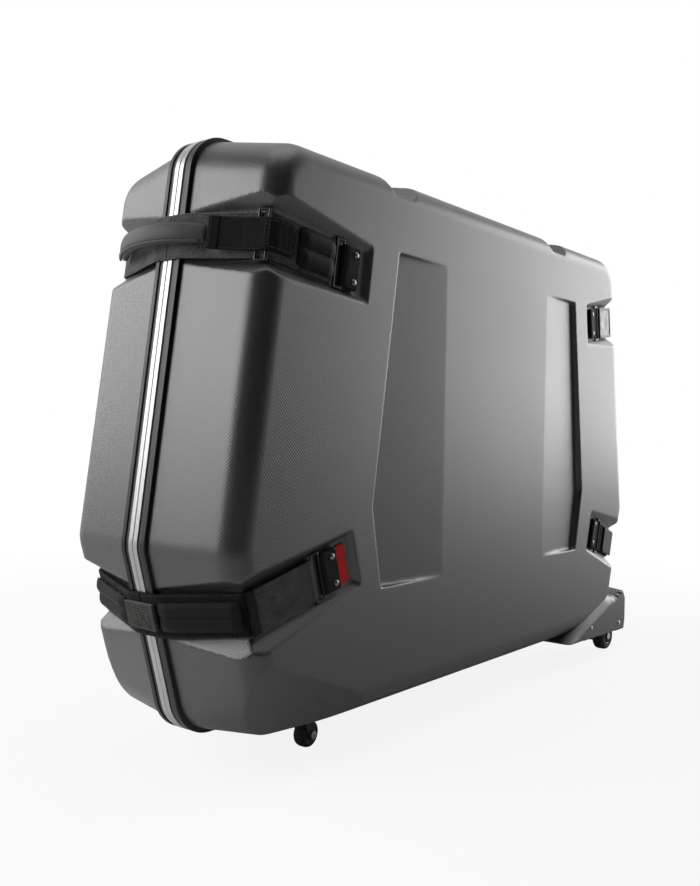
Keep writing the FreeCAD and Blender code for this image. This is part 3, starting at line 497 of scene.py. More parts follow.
def rightShell():
    rim = -shellForm["rim"]
    skin = cadCopy("right_shell")
    kept = outerSkin(skin, rim)
    bmesh.ops.delete(skin, geom=[f for f in skin.faces if f not in kept], context="FACES")
    grown = bmesh.ops.extrude_edge_only(skin, edges=[e for e in skin.edges if e.is_boundary])["geom"]
    bmesh.ops.translate(skin, verts=[v for v in grown if isinstance(v, bmesh.types.BMVert)],
                        vec=(0, shellForm["rimTail"], 0))
    bmesh.ops.holes_fill(skin, edges=[e for e in skin.edges if e.is_boundary], sides=0)
    bmesh.ops.recalc_face_normals(skin, faces=skin.faces)
    formed = softened("formedSkin", skin, shellForm["voxel"], shellForm["rounding"], shellForm["keep"])
    skin = bmesh.new()
    skin.from_mesh(formed.data)
    bpy.data.objects.remove(formed)
    bmesh.ops.bisect_plane(skin, geom=skin.verts[:] + skin.edges[:] + skin.faces[:], dist=1e-7,
                           plane_co=(0, rim, 0), plane_no=(0, 1, 0), clear_outer=True)
    for face in skin.faces:
        face.material_index = 0
        face.smooth = True
    lining = cadCopy("right_shell")
    bmesh.ops.delete(lining, geom=list(outerSkin(lining, rim)), context="FACES")
    lining.normal_update()
    room = [(v, v.normal.copy() * shellForm["liningRoom"]) for v in lining.verts
            if v.co.y < rim - shellForm["liningFrom"]]
    for vert, step in room:
        vert.co += step
    for face in lining.faces:
        face.material_index = 1
        face.smooth = False
    inside = bpy.data.meshes.new("lining")
    lining.to_mesh(inside)
    lining.free()
    skin.from_mesh(inside)
    obj = fromBmesh("rightShell", skin)
    for look in ("shell", "lining"):
        obj.data.materials.append(finish[look])
    return obj


right, left = dressPair(rightShell(), "leftShell", None, "shell", "shell", smooth=False)
print("shells:", len(right.data.polygons), "and", len(left.data.polygons), "faces")

# frame bars: one drawn section run round the six corners of the joint

barForm = {
    "corners": [(-541, 855), (-616, 308), (-544, 50), (544, 50), (616, 308), (541, 855)],
    "rounds": [62, 52, 62, 62, 52, 62],
    "steps": 14,
    "crease": 40,
    "bar": [(0.15, 16), (0.15, 1.0), (0.45, 0.4), (1.2, 0.04), (2.3, 0), (2.5, 0.1), (3.0, 0.1), (3.2, 0),
            (5.2, 0), (5.4, 0.1), (5.9, 0.1), (6.1, 0), (7.9, 0.02), (8.3, 0.25), (8.5, 0.8), (8.5, 3.0),
            (15.5, 3.0), (15.5, 0.9), (15.8, 0.3), (16.4, 0.02), (18.9, 0), (19.1, 0.1), (19.6, 0.1),
            (19.8, 0), (22.2, 0.02), (22.7, 0.3), (22.95, 0.9), (22.95, 13.5), (31, 13.5), (31, 16)],
    "strip": [(8.6, 2.95), (8.6, 2.2), (9.1, 1.8), (10.3, 1.5), (12, 1.4), (13.7, 1.5), (14.9, 1.8),
              (15.4, 2.2), (15.4, 2.95)],
}


def jointLoop():
    corners = [Vector(c) for c in barForm["corners"]]
    loop = []
    for i, corner in enumerate(corners):
        before = (corners[i - 1] - corner).normalized()
        after = (corners[(i + 1) % len(corners)] - corner).normalized()
        half = before.angle(after) / 2
        radius = barForm["rounds"][i]
        middle = corner + (before + after).normalized() * (radius / math.sin(half))
        reach = radius / math.tan(half)
        start, end = corner + before * reach - middle, corner + after * reach - middle
        turn = start.angle_signed(end)
        for k in range(barForm["steps"] + 1):
            a = -turn * k / barForm["steps"]
            cos, sin = math.cos(a), math.sin(a)
            spot = Vector((start.x * cos - start.y * sin, start.x * sin + start.y * cos))
            loop.append((middle + spot, -spot.normalized()))
    return loop


def ringSweep(name, section):
    loop = jointLoop()
    verts = [((p + n * d).x * mm, -y * mm, (p + n * d).y * mm) for p, n in loop for y, d in section]
    return builtObject(name, verts, ringFaces(len(loop), len(section), closed=True))


for form, node, slot in (("bar", "frame", "frame"), ("strip", "frame_trim", "strip")):
    name = form.title()
    dressPair(ringSweep("right" + name, barForm[form]), "left" + name, form, slot, node,
              angle=barForm["crease"])
print("frame bars swept")

# straps: a route is a plan line laid on one edge of the case, x inward, y across, in millimetres

strapEdges = {
    "upper": {"origin": (-560.88, 0, 710), "inward": (0.9907, 0, -0.1358), "along": (0.1358, 0, 0.9907)},
    "lower": {"origin": (-591.72, 0, 221), "inward": (0.9632, 0, 0.2688), "along": (-0.2688, 0, 0.9632)},
    "topFront": {"origin": (-253, 0, 855), "inward": (0, 0, -1), "along": (1, 0, 0)},
    "topRear": {"origin": (253, 0, 855), "inward": (0, 0, -1), "along": (1, 0, 0)},
}
floorCorner, floorEnd = (42, -140), -152


def layRoute(edge, plan, bend=6.0, rear=False, left=False):
    points = [np.array(plan[0], float)]
    for a, b, c in zip(plan, plan[1:], plan[2:]):
        a, b, c = (np.array(p, float) for p in (a, b, c))
        reach = min(bend, np.linalg.norm(a - b) * 0.45, np.linalg.norm(c - b) * 0.45)
        start, end = b + unit(a - b) * reach, b + unit(c - b) * reach
        points += [start * (1 - k) ** 2 + b * 2 * k * (1 - k) + end * k * k for k in np.linspace(0, 1, 9)]
    points.append(np.array(plan[-1], float))
    points = np.array(points)
    steps = np.linalg.norm(np.diff(points, axis=0), axis=1)
    reach = np.concatenate([[0], np.cumsum(steps)])
    even = np.linspace(0, reach[-1], max(3, int(reach[-1] / 1.5)))
    line = np.stack([np.interp(even, reach, points[:, i]) for i in (0, 1)], axis=1)
    tangent = unit(np.gradient(line, axis=0))
    return {"s": even, "line": line, "out": np.stack([tangent[:, 1], -tangent[:, 0]], axis=1),
            "length": reach[-1], "edge": strapEdges[edge],
            "flip": np.array([-1 if rear else 1, -1 if left else 1, 1])}


def onRoute(route, s, w, t):
    s, w, t = np.broadcast_arrays(*(np.asarray(v, float) for v in (s, w, t)))
    over = np.maximum(s - route["length"], 0) + np.minimum(s, 0)
    x, y, nx, ny = (np.interp(s, route["s"], v) for v in (*route["line"].T, *route["out"].T))
    size = np.hypot(nx, ny)
    nx, ny = nx / size, ny / size
    x, y = x + nx * t - ny * over, y + ny * t + nx * over
    edge = route["edge"]
    place = (np.array(edge["origin"]) + x[..., None] * np.array(edge["inward"])
             + y[..., None] * np.array((0, 1, 0)) + w[..., None] * np.array(edge["along"]))
    return place * route["flip"] * mm


def edgeGrid(low, high, step, soft):
    inner = np.linspace(low + soft, high - soft, max(2, int(round((high - low - 2 * soft) / step)) + 1))
    rim = np.array([0, 0.12, 0.4]) * soft
    return np.concatenate([low + rim, inner, high - rim[::-1]])


def strip(name, route, span, width, thick, lift=0.0, ridge=None, stepS=3.0, stepW=3.0, blunt=(0, 0)):
    low, high = span
    soft = thick / 2
    s, u = np.meshgrid(edgeGrid(low, high, stepS, soft), edgeGrid(-width / 2, width / 2, stepW, soft),
                       indexing="ij")
    narrow = np.zeros_like(s)
    for gap, radius in ((s - low, blunt[0]), (high - s, blunt[1])):
        if radius:
            near = np.clip(radius - gap, 0, radius)
            narrow += radius - np.sqrt(np.maximum(radius ** 2 - near ** 2, 0))
    half = width / 2 - narrow
    w = u * half / (width / 2)
    rim = np.minimum(np.minimum(half - np.abs(w), s - low), high - s)
    full = np.sqrt(1 - (1 - np.clip(rim / soft, 0, 1)) ** 2)
    raised = lift(s, w) if callable(lift) else lift
    top = raised + soft + soft * full + (ridge(s, w) * full if ridge else 0)
    bottom = raised + soft - soft * full
    ns, nw = s.shape
    index = np.arange(ns * nw).reshape(ns, nw)
    under = index + ns * nw
    under[0], under[-1], under[:, 0], under[:, -1] = index[0], index[-1], index[:, 0], index[:, -1]
    verts = np.concatenate([onRoute(route, s, w, top).reshape(-1, 3),
                            onRoute(route, s, w, bottom).reshape(-1, 3)])
    lay = np.stack([s, w, top], axis=-1).reshape(-1, 3) * mm
    faces = []
    for i in range(ns - 1):
        for j in range(nw - 1):
            faces.append((index[i, j], index[i + 1, j], index[i + 1, j + 1], index[i, j + 1]))
            faces.append((under[i, j], under[i, j + 1], under[i + 1, j + 1], under[i + 1, j]))
    return builtObject(name, verts, [tuple(map(int, f)) for f in faces], np.concatenate([lay, lay]))


def tube(name, points, radius, sides=8):
    points = np.asarray(points, float)
    count = len(points)
    tangent = unit(np.gradient(points, axis=0))
    verts = []
    for p, t in zip(points, tangent):
        a = unit(np.cross(t, (0.31, 0.52, 0.79)))
        verts += ringPoints(p, radius, a, np.cross(t, a), sides)
    faces = ringFaces(count, sides)
    faces += [tuple(range(sides)), tuple((count - 1) * sides + k for k in range(sides))]
    return builtObject(name, verts, faces)


def stitchRow(name, at, path, length=3.4, gap=1.5, radius=0.42):
    path = np.asarray(path, float)
    reach = np.concatenate([[0], np.cumsum(np.linalg.norm(np.diff(path, axis=0), axis=1))])
    verts, faces = [], []
    start = gap / 2
    while start + length < reach[-1]:
        spots = start + length * np.array([0, 0.18, 0.82, 1])
        centre = at(np.stack([np.interp(spots, reach, path[:, i]) for i in range(path.shape[1])], axis=1))
        ahead = unit(centre[-1] - centre[0])
        side = unit(np.cross(ahead, (0.2, 0.3, 0.93)))
        up = np.cross(side, ahead)
        base = len(verts)
        for p, size in zip(centre, (0.45, 1, 1, 0.45)):
            verts += ringPoints(p, radius * mm * size, side, up, 6)
        faces += ringFaces(4, 6, base)
        faces += [tuple(base + k for k in range(6)), tuple(base + 18 + k for k in range(6))]
        start += length + gap
    return builtObject(name, verts, faces)


def stitched(name, route, lift, *paths, **form):
    def at(points):
        return onRoute(route, points[:, 0], points[:, 1],
                       lift(points[:, 0], points[:, 1]) if callable(lift) else lift)
    return joined(name, [stitchRow(name + "Row", at, path, **form) for path in paths])


def sew(name, route, lift, body, slot, *paths, look="thread", **form):
    dress(stitched(name, route, lift, *paths, **form), look, body, slot)


def boxPath(s0, s1, w0, w1):
    return [(s0, w0), (s1, w0), (s1, w1), (s0, w1), (s0, w0)]


def sideY(run, x, lift):
    return floorCorner[1] + (floorEnd - floorCorner[1]) * (x - floorCorner[0]) / (run - floorCorner[0]) - lift


# upper and lower bands, napped webbing on the floor of each recess

bandForm = {"width": 60, "thick": 3, "upperRun": 220, "upperEnd": 152, "lowerRun": 238, "lowerEnd": 156,
            "start": [(-0.3, -0.15), (-0.3, -23), (41.7, -140.3)], "bed": 0.3, "step": 1.6, "seam": 27.5,
            "seamEnd": 4, "seamLift": 3.1}


def nap(s, w):
    return 0.22 * np.sin(s * 2.1 + 1.7 * np.sin(w * 0.9)) * np.sin(w * 1.9 + 0.6 * np.sin(s * 0.7))


def bandRoute(level, end, left=False, rear=False, run=None):
    run = run or bandForm[level + "Run"]
    return layRoute(level, bandForm["start"] + [(end, sideY(run, end, bandForm["bed"]))], left=left,
                    rear=rear)


for level, look in (("upper", "loop"), ("lower", "nap")):
    for side in ("right", "left"):
        route = bandRoute(level, bandForm[level + "End"], side == "left")
        piece = strip(f"{level}Band{side.title()}", route, (0, route["length"]), bandForm["width"],
                      bandForm["thick"], ridge=nap, stepS=bandForm["step"], stepW=bandForm["step"])
        dress(piece, look, f"{side}_half", "webbing", f"{level}_band_{side}")
        low, high = bandForm["seamEnd"], route["length"] - bandForm["seamEnd"]
        rows = [[(low, w), (high, w)] for w in (-bandForm["seam"], bandForm["seam"])]
        sew(f"{level}BandStitch{side.title()}", route, bandForm["seamLift"], f"{side}_half", "webbing", *rows)
print("front bands laid")

# upper wrap: webbing folded over the end of the roll, with a rounded tab at its end

wrapForm = {"width": 44, "thick": 3.6, "lift": 6.8, "proud": 6.2, "settle": 46, "rib": 1.9, "ribHeight": 0.28,
            "start": (14.93, -67), "end": 78, "bend": 7, "hemSpan": (1, 13), "hemWidth": 42, "tabWidth": 40,
            "tabLength": 40, "fold": 2.3}
wrapTip = (wrapForm["end"], sideY(bandForm["upperRun"], wrapForm["end"], 0))
wrapRoute = layRoute("upper", [wrapForm["start"], floorCorner, wrapTip], bend=wrapForm["bend"])


def wrapLift(s, w):
    return wrapForm["lift"] + wrapForm["proud"] * np.clip(1 - s / wrapForm["settle"], 0, 1) ** 1.5


def crossRibs(s, w):
    return wrapForm["ribHeight"] * np.sin(2 * math.pi * s / wrapForm["rib"])


def onWrap(more):
    return lambda s, w: wrapLift(s, w) + wrapForm["thick"] + more


wrapEnd = wrapRoute["length"]
dress(strip("upperWrap", wrapRoute, (0, wrapEnd), wrapForm["width"], wrapForm["thick"], wrapLift,
            crossRibs, stepS=0.6, blunt=(3, 8)), "webbing", "upper_strap_wrap", "webbing", "upper_wrap")
foldAt = onRoute(wrapRoute, np.full(24, -0.6), np.linspace(-21, 21, 24), wrapLift(0, 0) + 1.6)
dress(tube("upperWrapFold", foldAt, wrapForm["fold"] * mm, 10), "webbing", "upper_strap_wrap", "webbing")
dress(strip("upperWrapHem", wrapRoute, wrapForm["hemSpan"], wrapForm["hemWidth"], 1.6, onWrap(-0.3),
            crossRibs, stepS=0.6, blunt=(2, 2)), "webbing", "upper_strap_wrap", "webbing")
tabLow, tabHigh = wrapEnd - wrapForm["tabLength"], wrapEnd + 1
dress(strip("upperWrapTab", wrapRoute, (tabLow, tabHigh), wrapForm["tabWidth"], 2.2, onWrap(-0.2),
            crossRibs, stepS=0.6, blunt=(3, 11)), "webbing", "upper_strap_wrap", "webbing")
sew("upperWrapStitch", wrapRoute, onWrap(0.2), "upper_strap_wrap", "webbing", [(10.5, -19), (10.5, 19)],
    [(15, -20), (tabLow - 2, -20)], [(15, 20), (tabLow - 2, 20)])
sew("upperTabStitch", wrapRoute, onWrap(2.1), "upper_strap_wrap", "webbing",
    [(tabLow + 3, -17), (tabHigh - 10, -17), (tabHigh - 4, -9), (tabHigh - 4, 9), (tabHigh - 10, 17),
     (tabLow + 3, 17), (tabLow + 3, -17)], look="paleThread")
print("upper wrap folded")

# lower tab over the joint, box stitched

tabForm = {"width": 38, "thick": 5.6, "length": 56, "box": (22, 46, -15, 15), "edge": 1.5 * mm}
tabRoute = layRoute("lower", [(-3.6, 29), (-3.6, -27)])
dress(strip("lowerTab", tabRoute, (0, tabForm["length"]), tabForm["width"], tabForm["thick"], 0.1,
            crossRibs, stepS=0.7, blunt=(2, 2)), "ribbed", "right_half", "webbing", "lower_tab")
s0, s1, w0, w1 = tabForm["box"]
sew("lowerTabStitch", tabRoute, tabForm["thick"] + 0.3, "right_half", "webbing", boxPath(*tabForm["box"]),
    [(s0, w0), (s1, w1)], [(s0, w1), (s1, w0)], length=2.6, gap=1.3)
edgeAt = onRoute(tabRoute, np.full(20, 54.5), np.linspace(-18, 18, 20), 5.0)
dress(tube("lowerTabEdge", edgeAt, tabForm["edge"]), "ribbed", "right_half", "webbing")
print("lower tab stitched")

# lower tail: ribbed webbing with a napped fold at its free end

tailForm = {"width": 58, "thick": 3.6, "rib": 2.9, "ribHeight": 0.55, "fold": 15, "foldWidth": 59,
            "foldThick": 3.2, "ends": (42, 159.25)}
tailRoute = layRoute("lower", [(x, sideY(bandForm["lowerRun"], x, tailForm["thick"]))
                               for x in tailForm["ends"]])


def longRibs(s, w):
    return tailForm["ribHeight"] * np.abs(np.sin(math.pi * w / tailForm["rib"]))


tailEnd = tailRoute["length"]
dress(strip("lowerTail", tailRoute, (2, tailEnd), tailForm["width"], tailForm["thick"], 0.1, longRibs,
            stepW=0.52),
      "ribbed", "lower_strap_tail", "ribbed_webbing", "lower_tail")
dress(strip("lowerTailFold", tailRoute, (0, tailForm["fold"]), tailForm["foldWidth"], tailForm["foldThick"],
            lambda s, w: 2.2 - 0.06 * s, nap, stepS=1.5, stepW=1.5, blunt=(1.5, 0.5)),
      "nap", "lower_strap_tail", "webbing")
sew("lowerTailStitch", tailRoute, 4.2, "lower_strap_tail", "ribbed_webbing",
    boxPath(tailEnd - 22, tailEnd - 6, -26, 26), [(18, -26.5), (18, 26.5)])
print("lower tail ribbed")

# tag beside the lower anchor, a plain red tape

tagForm = {"span": (170, 188), "width": 56, "thick": 1.8, "lift": 0.4, "stepS": 1.5, "stepW": 2,
           "blunt": (0.8, 0.8)}
tagThread = {"length": 2.4, "gap": 1.2, "radius": 0.3}
tagRoute = layRoute("lower", [floorCorner, (bandForm["lowerRun"], floorEnd)])
dress(strip("lowerTag", tagRoute, **tagForm), "tape", "right_half", "tag", "lower_tag")
sew("lowerTagStitch", tagRoute, 2.2, "right_half", "tag", boxPath(171.5, 186.5, -26.5, 26.5), **tagThread)

# riveted anchors: webbing folded round the bar of each ring, held by two rivets

anchorForm = {
    # edge, run of the recess floor, end of the anchor, at the rear
    "seats": [("upper", 220, 178, False), ("lower", 238, 182, False), ("upper", 172, 130, True),
              ("lower", 180, 138, True)],
    "width": 60, "thick": 7.6, "from": 46, "to": 15, "topPlan": [(7, -23), (49, -160)], "topFrom": 76.3,
    "topLength": 32, "topWidth": 40, "topThick": 4.8,
    "weave": {"stepS": 1.6, "stepW": 2.4, "blunt": (2, 3)},
    "loopWidth": 56, "loopLift": 4.0, "loop": {"reach": 3.4, "height": 3.8, "inset": 0.6, "inside": 2.2},
    "rivetAt": 25, "rivetOff": 19, "top": 8.0, "topRivetAt": 16, "topRivetOff": 11, "topTop": 5.0,
    "rivet": [(0, 1.9), (1.6, 1.85), (3.0, 1.5), (3.9, 0.95), (4.5, 0.2), (4.5, -0.6)],
}


def ringLoop(name, route, s, lift, width):
    turn = np.linspace(math.pi * 0.5, math.pi * 1.5, 15)
    rows = np.linspace(-width / 2, width / 2, 24)
    form = anchorForm["loop"]
    hole = form["inside"]
    bend = [(s + form["reach"] * math.cos(a), lift + form["height"] * math.sin(a)) for a in turn]
    inside = [(s + form["inset"] + hole * math.cos(a), lift + hole * math.sin(a)) for a in turn]
    loop = bend + inside[::-1]
    verts = [onRoute(route, a, w, b) for w in rows for a, b in loop]
    lay = np.array([(a, w, b) for w in rows for a, b in loop]) * mm
    count = len(loop)
    faces = ringFaces(len(rows), count)
    for base in (0, len(verts) - count):
        faces += [(base + i, base + i + 1, base + count - 2 - i, base + count - 1 - i)
                  for i in range(len(turn) - 1)]
    return builtObject(name, verts, faces, lay)


def anchorPuff(s, w):
    return 0.10 * np.sin(s * 0.9 + 0.7 * np.sin(w * 0.35)) * np.cos(w * 0.21)


def lathe(name, profile, place, axis, steps):
    turn = Vector(axis).normalized().to_track_quat("Z", "Y").to_matrix()
    verts = [Vector(place) + turn @ Vector((r * mm * math.cos(a), r * mm * math.sin(a), h * mm))
             for r, h in profile for a in (2 * math.pi * k / steps for k in range(steps))]
    return builtObject(name, verts, ringFaces(len(profile), steps), weld=1e-7)


def rivetHead(route, s, w, t):
    foot, tip = onRoute(route, s, w, t), onRoute(route, s, w, t + 1)
    return lathe("rivetHead", anchorForm["rivet"], foot, tip - foot, 20)


plates, heads, threads = [], [], []
for level, run, end, rear in anchorForm["seats"]:
    route = layRoute(level, [floorCorner, (run, floorEnd)], rear=rear)
    span = (end - anchorForm["from"], end - anchorForm["to"])
    plates.append(strip("anchor", route, span, anchorForm["width"], anchorForm["thick"], 0.2, anchorPuff,
                        **anchorForm["weave"]))
    plates.append(ringLoop("anchorLoop", route, span[0], anchorForm["loopLift"], anchorForm["loopWidth"]))
    off, top = anchorForm["rivetOff"], anchorForm["top"]
    heads += [rivetHead(route, end - anchorForm["rivetAt"], w, top) for w in (-off, off)]
    threads.append(stitched("anchorStitch", route, top, boxPath(end - 38, end - 18, -27, 27)))
for edge in ("topFront", "topRear"):
    route = layRoute(edge, anchorForm["topPlan"])
    low = anchorForm["topFrom"]
    plates.append(strip("topAnchor", route, (low, low + anchorForm["topLength"]), anchorForm["topWidth"],
                        anchorForm["topThick"], 0.1, anchorPuff, **anchorForm["weave"]))
    off, top = anchorForm["topRivetOff"], anchorForm["topTop"]
    heads += [rivetHead(route, low + anchorForm["topRivetAt"], w, top) for w in (-off, off)]
    threads.append(stitched("topAnchorStitch", route, top, boxPath(low + 3, low + 29, -17.5, 17.5)))
anchorSets = (("Anchors", plates, "webbing", "anchor", "anchors"),
              ("Rivets", heads, "rivet", "rivet", "rivets"),
              ("AnchorStitch", threads, "thread", "anchor", None))
for name, group, look, slot, node in anchorSets:
    dressPair(joined("right" + name, group), "left" + name, look, slot, node, angle=50)
print("anchors riveted")

# rear straps, top straps and the bands on the left half that take them

rearForm = {"upper": {"run": 172, "from": 107.25, "bandEnd": 104},
            "lower": {"run": 180, "from": 115.25, "bandEnd": 112}}
tongueForm = {"start": [(-3.6, 45), (-3.6, -23)], "corner": (41.7, -140.3), "width": 58,
              "topEnd": (28.77, -95), "topWidth": 40, "bandStart": [(-0.3, -0.15), (-0.3, -23)],
              "bandThick": 3}
tongueWeave = {"thick": 3.8, "lift": 0.1, "ridge": crossRibs, "stepS": 0.7, "blunt": (10, 0)}
napWeave = {"thick": tongueForm["bandThick"], "ridge": nap, "stepS": 1.8, "stepW": 1.8}
leftBands = []
for level, form in rearForm.items():
    tip = (form["from"], sideY(form["run"], form["from"], bandForm["bed"]))
    route = layRoute(level, [*tongueForm["start"], tongueForm["corner"], tip], rear=True)
    body = f"rear_{level}_strap"
    dress(strip(f"rear{level.title()}Tail", route, (0, route["length"]), tongueForm["width"], **tongueWeave),
          "webbing", body, "webbing", f"rear_{level}_tail")
    rows = [[(10, w), (route["length"] - 8, w)] for w in (-25.5, 25.5)]
    sew(f"rear{level.title()}Stitch", route, 4.1, body, "webbing", *rows)
    bandLine = bandRoute(level, form["bandEnd"], left=True, rear=True, run=form["run"])
    leftBands.append(strip("rearBand", bandLine, (0, bandLine["length"]), bandForm["width"], **napWeave))
for edge, node in (("topFront", "top_front"), ("topRear", "top_rear")):
    route = layRoute(edge, [*tongueForm["start"], tongueForm["topEnd"]])
    dress(strip(edge + "Tail", route, (0, route["length"]), tongueForm["topWidth"], **tongueWeave), "webbing",
          node + "_strap", "webbing", node + "_tail")
    sew(edge + "Stitch", route, 4.1, node + "_strap", "webbing", boxPath(6, route["length"] - 5, -16.5, 16.5))
    bandLine = layRoute(edge, [*tongueForm["bandStart"], tongueForm["topEnd"]], left=True)
    leftBands.append(strip("topBand", bandLine, (0, bandLine["length"]), tongueForm["topWidth"], **napWeave))
dress(joined("leftClosingBands", leftBands), "nap", "left_half", "webbing", "left_closing_bands")

# covers at the rear corners: a clear window above, a plain plate below

coverForm = {
    # span, middle and width of each side of the window's rim
    "rims": [((-8, 62), 28, 6), ((-8, 62), -28, 6), ((56, 62), 0, 62), ((-8, -2), 0, 62)],
    "rimThick": 3.0, "lift": 4.9, "filmSpan": (-6, 60), "filmWidth": 56, "filmThick": 1.2,
    "plateSpan": (-8, 48), "plateWidth": 52, "plateThick": 2.8,
}
route = layRoute("upper", [floorCorner, (rearForm["upper"]["run"], floorEnd)], rear=True)
edge = route["edge"]
rimLift = coverForm["lift"]
rims = []
for span, middle, wide in coverForm["rims"]:
    origin = np.array(edge["origin"]) + middle * np.array(edge["along"])
    moved = {**route, "edge": {**edge, "origin": tuple(origin)}}
    rims.append(strip("windowRim", moved, span, wide, coverForm["rimThick"], rimLift, stepW=2))
dress(joined("windowRims", rims), "plate", "rear_upper_strap", "window", "rear_upper_window")
dress(strip("windowFilm", route, coverForm["filmSpan"], coverForm["filmWidth"], coverForm["filmThick"],
            rimLift + 1.0, lambda s, w: 0.5 * np.sin(s * 0.16) * np.cos(w * 0.09)),
      "film", "rear_upper_strap", "window")
sew("windowStitch", route, rimLift + 3.1, "rear_upper_strap", "window", boxPath(-5, 59, -28, 28))
route = layRoute("lower", [floorCorner, (rearForm["lower"]["run"], floorEnd)], rear=True)
dress(strip("rearPlate", route, coverForm["plateSpan"], coverForm["plateWidth"], coverForm["plateThick"],
            rimLift + 0.1, blunt=(4, 4)), "plate", "rear_lower_strap", "badge", "rear_lower_plate")
print("rear and top straps laid")

# stuffed pads and the roll handle: CAD forms, remeshed and blown up as cloth

clothForm = {"voxel": 2.6 * mm, "rounding": 2, "padPressure": 30.0, "rollPressure": 4.0, "frames": 20,
             "quality": 6, "mass": 0.15, "stiffness": 0.3}


def inflate(obj, pinned, cap, pressure):
    start = np.empty(len(obj.data.vertices) * 3, "f")
    obj.data.vertices.foreach_get("co", start)
    held = obj.vertex_groups.new(name="held")
    held.add([int(i) for i in np.nonzero(pinned(start.reshape(-1, 3)))[0]], 1.0, "REPLACE")
    cloth = obj.modifiers.new("cloth", "CLOTH")
    cloth.settings.use_pressure = True
    cloth.settings.uniform_pressure_force = pressure
    cloth.settings.effector_weights.gravity = 0
    cloth.settings.vertex_group_mass = "held"
    cloth.settings.quality = clothForm["quality"]
    cloth.settings.mass = clothForm["mass"]
    cloth.settings.bending_stiffness = clothForm["stiffness"]
    cloth.point_cache.frame_start = 1
    cloth.point_cache.frame_end = clothForm["frames"]
    for step in range(1, clothForm["frames"] + 1):
        scene.frame_set(step)
    blown = np.empty_like(start)
    done = obj.evaluated_get(bpy.context.evaluated_depsgraph_get())
    done.data.vertices.foreach_get("co", blown)
    move = (blown - start).reshape(-1, 3)
    far = np.linalg.norm(move, axis=1)
    move *= np.minimum(1, cap / np.maximum(far, 1e-9))[:, None]
    obj.modifiers.clear()
    obj.vertex_groups.clear()
    obj.data.vertices.foreach_set("co", (start.reshape(-1, 3) + move).ravel())
    obj.data.update()
    scene.frame_set(1)
    print(f"  {obj.name}: cloth moved up to {min(far.max(), cap) * 1000:.1f} mm")


def padFrame(edge, start, end, left=False):
    flip = np.array((1, -1 if left else 1, 1))
    e = strapEdges[edge]
    inward, along, across = np.array(e["inward"]), np.array(e["along"]), np.array((0, 1.0, 0))
    run = unit(np.array(end, float) - np.array(start, float))
    origin = np.array(e["origin"]) + inward * start[0] + across * start[1]
    ahead = (inward * run[0] + across * run[1]) * flip
    out = (inward * run[1] - across * run[0]) * flip
    return origin * flip * mm, ahead, out, along * flip


def localPlace(points, place):
    origin, ahead, out, along = place
    off = points - origin
    return off @ ahead / mm, off @ along / mm, off @ out / mm


padSet = [
    # name, node, body, edge, from, to, left, base
    ("upperSidePad", "upper_side_pad", "upper_strap_patch", "upper", (42, -140), (220, -152), False, 3.6),
    ("lowerPadRight", "lower_pad_right", "right_half", "lower", (-3.6, -23), (38.4, -143.6), False, 0.0),
    ("lowerPadLeft", "lower_pad_left", "left_half", "lower", (-3.6, -23), (38.4, -143.6), True, 0.0),
]
padForm = {"heldUnder": 1.6, "heldSeam": 1.8, "cap": 1.2 * mm, "groove": 1.3, "grooveFrom": 1.8,
           "grooveDepth": 1.1, "height": 5.0, "seamEnd": 3, "seamFall": 9}
for name, node, body, edge, start, end, left, base in padSet:
    place = padFrame(edge, start, end, left)
    obj = softened(name, cadCopy(node), clothForm["voxel"], clothForm["rounding"])
    inflate(obj, lambda p: (localPlace(p, place)[2] < base + padForm["heldUnder"])
            | (np.abs(localPlace(p, place)[1]) < padForm["heldSeam"]), padForm["cap"],
            clothForm["padPressure"])
    refined(obj)
    points = np.array([v.co for v in obj.data.vertices])
    s, w, n = localPlace(points, place)
    groove = np.exp(-(w / padForm["groove"]) ** 2) * (n > base + padForm["grooveFrom"])
    points -= (groove * padForm["grooveDepth"] * mm)[:, None] * place[2]
    obj.data.vertices.foreach_set("co", points.ravel())
    dress(obj, "pad", body, "pad", node)
    origin, ahead, out, along = place
    low, high = s.min() + padForm["seamEnd"], s.max() - padForm["seamEnd"]
    top, fall = base + padForm["height"], padForm["seamFall"]
    line = [(low, 0, top - 1.4), (low + fall, 0, top - 0.1), (high - fall, 0, top - 0.1),
            (high, 0, top - 1.4)]
    seam = stitchRow(name + "Row",
                     lambda q: origin + (q[:, :1] * ahead + q[:, 1:2] * along + q[:, 2:3] * out) * mm, line)
    dress(joined(name + "Seam", [seam]), "thread", body, "pad")

rollForm = {"ends": ((5.07, -63), (26.36, 124)), "middle": (-18, 30.5), "welt": 1.9 * mm,
            "held": (-58 * mm, 117 * mm), "cap": 2.5 * mm, "weltAt": (5.6, -11.5), "seamAt": (7.4, -9.3)}


def arcThrough(a, b, c, count):
    a, b, c = (Vector(p) for p in (a, b, c))
    d = 2 * (a.x * (b.y - c.y) + b.x * (c.y - a.y) + c.x * (a.y - b.y))
    aa, bb, cc = (p.length_squared for p in (a, b, c))
    centre = Vector((aa * (b.y - c.y) + bb * (c.y - a.y) + cc * (a.y - b.y),
                     aa * (c.x - b.x) + bb * (a.x - c.x) + cc * (b.x - a.x))) / d
    first, last = (math.atan2(p.y - centre.y, p.x - centre.x) % (2 * math.pi) for p in (a, c))
    radius = (a - centre).length
    return [(centre.x + radius * math.cos(t), centre.y + radius * math.sin(t))
            for t in np.linspace(first, last, count)]


